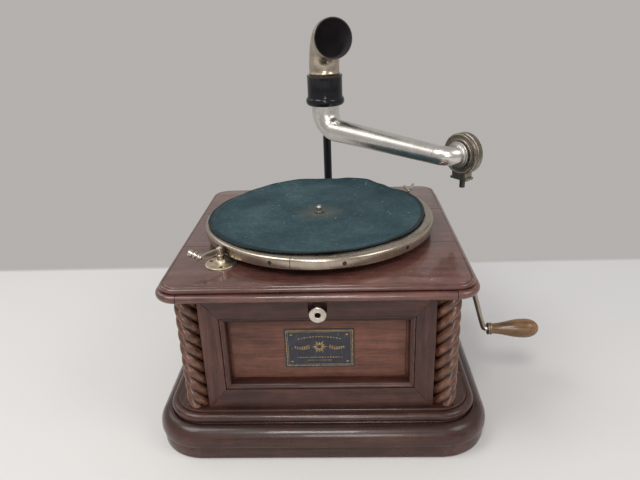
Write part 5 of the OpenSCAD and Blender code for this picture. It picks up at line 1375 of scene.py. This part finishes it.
# edge is where the table ends behind the object, in metres, and soft the world's strength
studio = dict(floor=(0.70, 0.685, 0.665), wall=(0.455, 0.437, 0.420), sky=(0.94, 0.96, 1.0), reach=9.0,
              edge=0.294, soft=0.40)


# camera, mirror and glass rays see the backdrop's own colour
def backdropRays(g):
    rays = g.add("ShaderNodeLightPath").outputs
    seen = g.calc("MAXIMUM", rays["Is Camera Ray"], rays["Is Glossy Ray"])
    return g.calc("MAXIMUM", seen, rays["Is Transmission Ray"])


def makeFloor():
    mesh = bpy.data.meshes.new("floor")
    s = studio["reach"]
    mesh.from_pydata([(-s, -s, 0), (s, -s, 0), (s, s, 0), (-s, s, 0)], [], [(0, 1, 2, 3)])
    floor = linked("floor", mesh)
    f = Finish("floor")
    behind = f.calc("ADD", f.calc("SUBTRACT", f.axes(f.coords)["Y"], studio["edge"]), 0.5)
    far = f.ramp(behind, [(0.494, 0.0), (0.508, 1.0)])
    mesh.materials.append(f.done(f.mix(far, studio["floor"], studio["wall"]), 0.85, level=0.2))
    seen = f.calc("MULTIPLY", far, backdropRays(f))
    f.put(f.output.inputs[0], f.blended(seen, f.shader.outputs[0], f.lit("Emission", studio["wall"])))


def makeWorld():
    world = bpy.data.worlds.new("studio")
    bpy.context.scene.world = world
    world.use_nodes = True
    world.node_tree.nodes.clear()
    g = Nodes(world.node_tree)
    soft = g.lit("Background", studio["sky"], studio["soft"])
    seen = g.lit("Background", studio["wall"])
    g.put(g.add("ShaderNodeOutputWorld").inputs[0], g.blended(backdropRays(g), soft, seen))


lamps = [
    dict(name="keyLamp", place=(-0.75, -0.35, 1.35), aim=(0, 0, 0.15), size=0.7, power=8.5,
         tint=(1.0, 0.98, 0.95)),
    dict(name="frontLamp", place=(-0.10, -1.05, 1.30), aim=(0, 0, 0.12), size=0.34, power=6.3,
         tint=(1.0, 0.98, 0.96)),
    dict(name="lowLamp", place=(0.05, -1.70, 0.80), aim=(0, 0, 0.10), size=0.40, power=4.8,
         tint=(1.0, 0.98, 0.96)),
    dict(name="fillLamp", place=(0.95, -0.55, 1.10), aim=(0, 0, 0.12), size=0.6, power=4.0,
         tint=(1.0, 0.97, 0.94)),
    dict(name="streakLamp", place=(-0.98, 0.46, 0.93), aim=(0.07, 0.08, 0.26), size=0.5, power=1.3,
         tint=(1.0, 0.99, 0.97)),
    dict(name="backLamp", place=(0.05, 1.05, 1.25), aim=(0, 0, 0.20), size=0.9, power=2.4,
         tint=(0.97, 0.98, 1.0)),
]


def makeLamps():
    for lamp in lamps:
        light = bpy.data.lights.new(lamp["name"], "AREA")
        light.shape = "SQUARE"
        light.size = lamp["size"]
        light.energy = lamp["power"]
        light.color = lamp["tint"]
        obj = linked(lamp["name"], light)
        obj.location = lamp["place"]
        obj.rotation_euler = (Vector(lamp["aim"]) - Vector(lamp["place"])).to_track_quat("-Z", "Y").to_euler()
        # the back lamp would show as a square in the wood's gloss
        obj.visible_glossy = lamp["name"] != "backLamp"


# place in millimetres, focal length in pixels of a picture 640 wide, angles in radians
view = dict(place=(28.1, -619.3, 428.3), focal=577.1, picture=640, sensor=36.0, pitch=0.3953, yaw=0.0461,
            roll=-0.0386)


def makeCamera():
    camera = bpy.data.cameras.new("photoCamera")
    camera.sensor_width = view["sensor"]
    camera.lens = view["focal"] / view["picture"] * view["sensor"]
    camera.clip_start = 0.01
    obj = linked("photoCamera", camera)
    p, y, r = view["pitch"], view["yaw"], view["roll"]
    ahead = Vector((-math.sin(y) * math.cos(p), math.cos(y) * math.cos(p), -math.sin(p)))
    level = Vector((math.cos(y), math.sin(y), 0))
    rise = level.cross(ahead)
    right = math.cos(r) * level + math.sin(r) * rise
    upward = -math.sin(r) * level + math.cos(r) * rise
    spin = Matrix((right, upward, -ahead)).transposed().to_4x4()
    obj.matrix_world = moved(Vector(view["place"]) / 1000) @ spin
    bpy.context.scene.camera = obj


makeFloor()
makeWorld()
makeLamps()
makeCamera()
bpy.context.scene.view_settings.view_transform = "Standard"
print("floor, light and camera set")
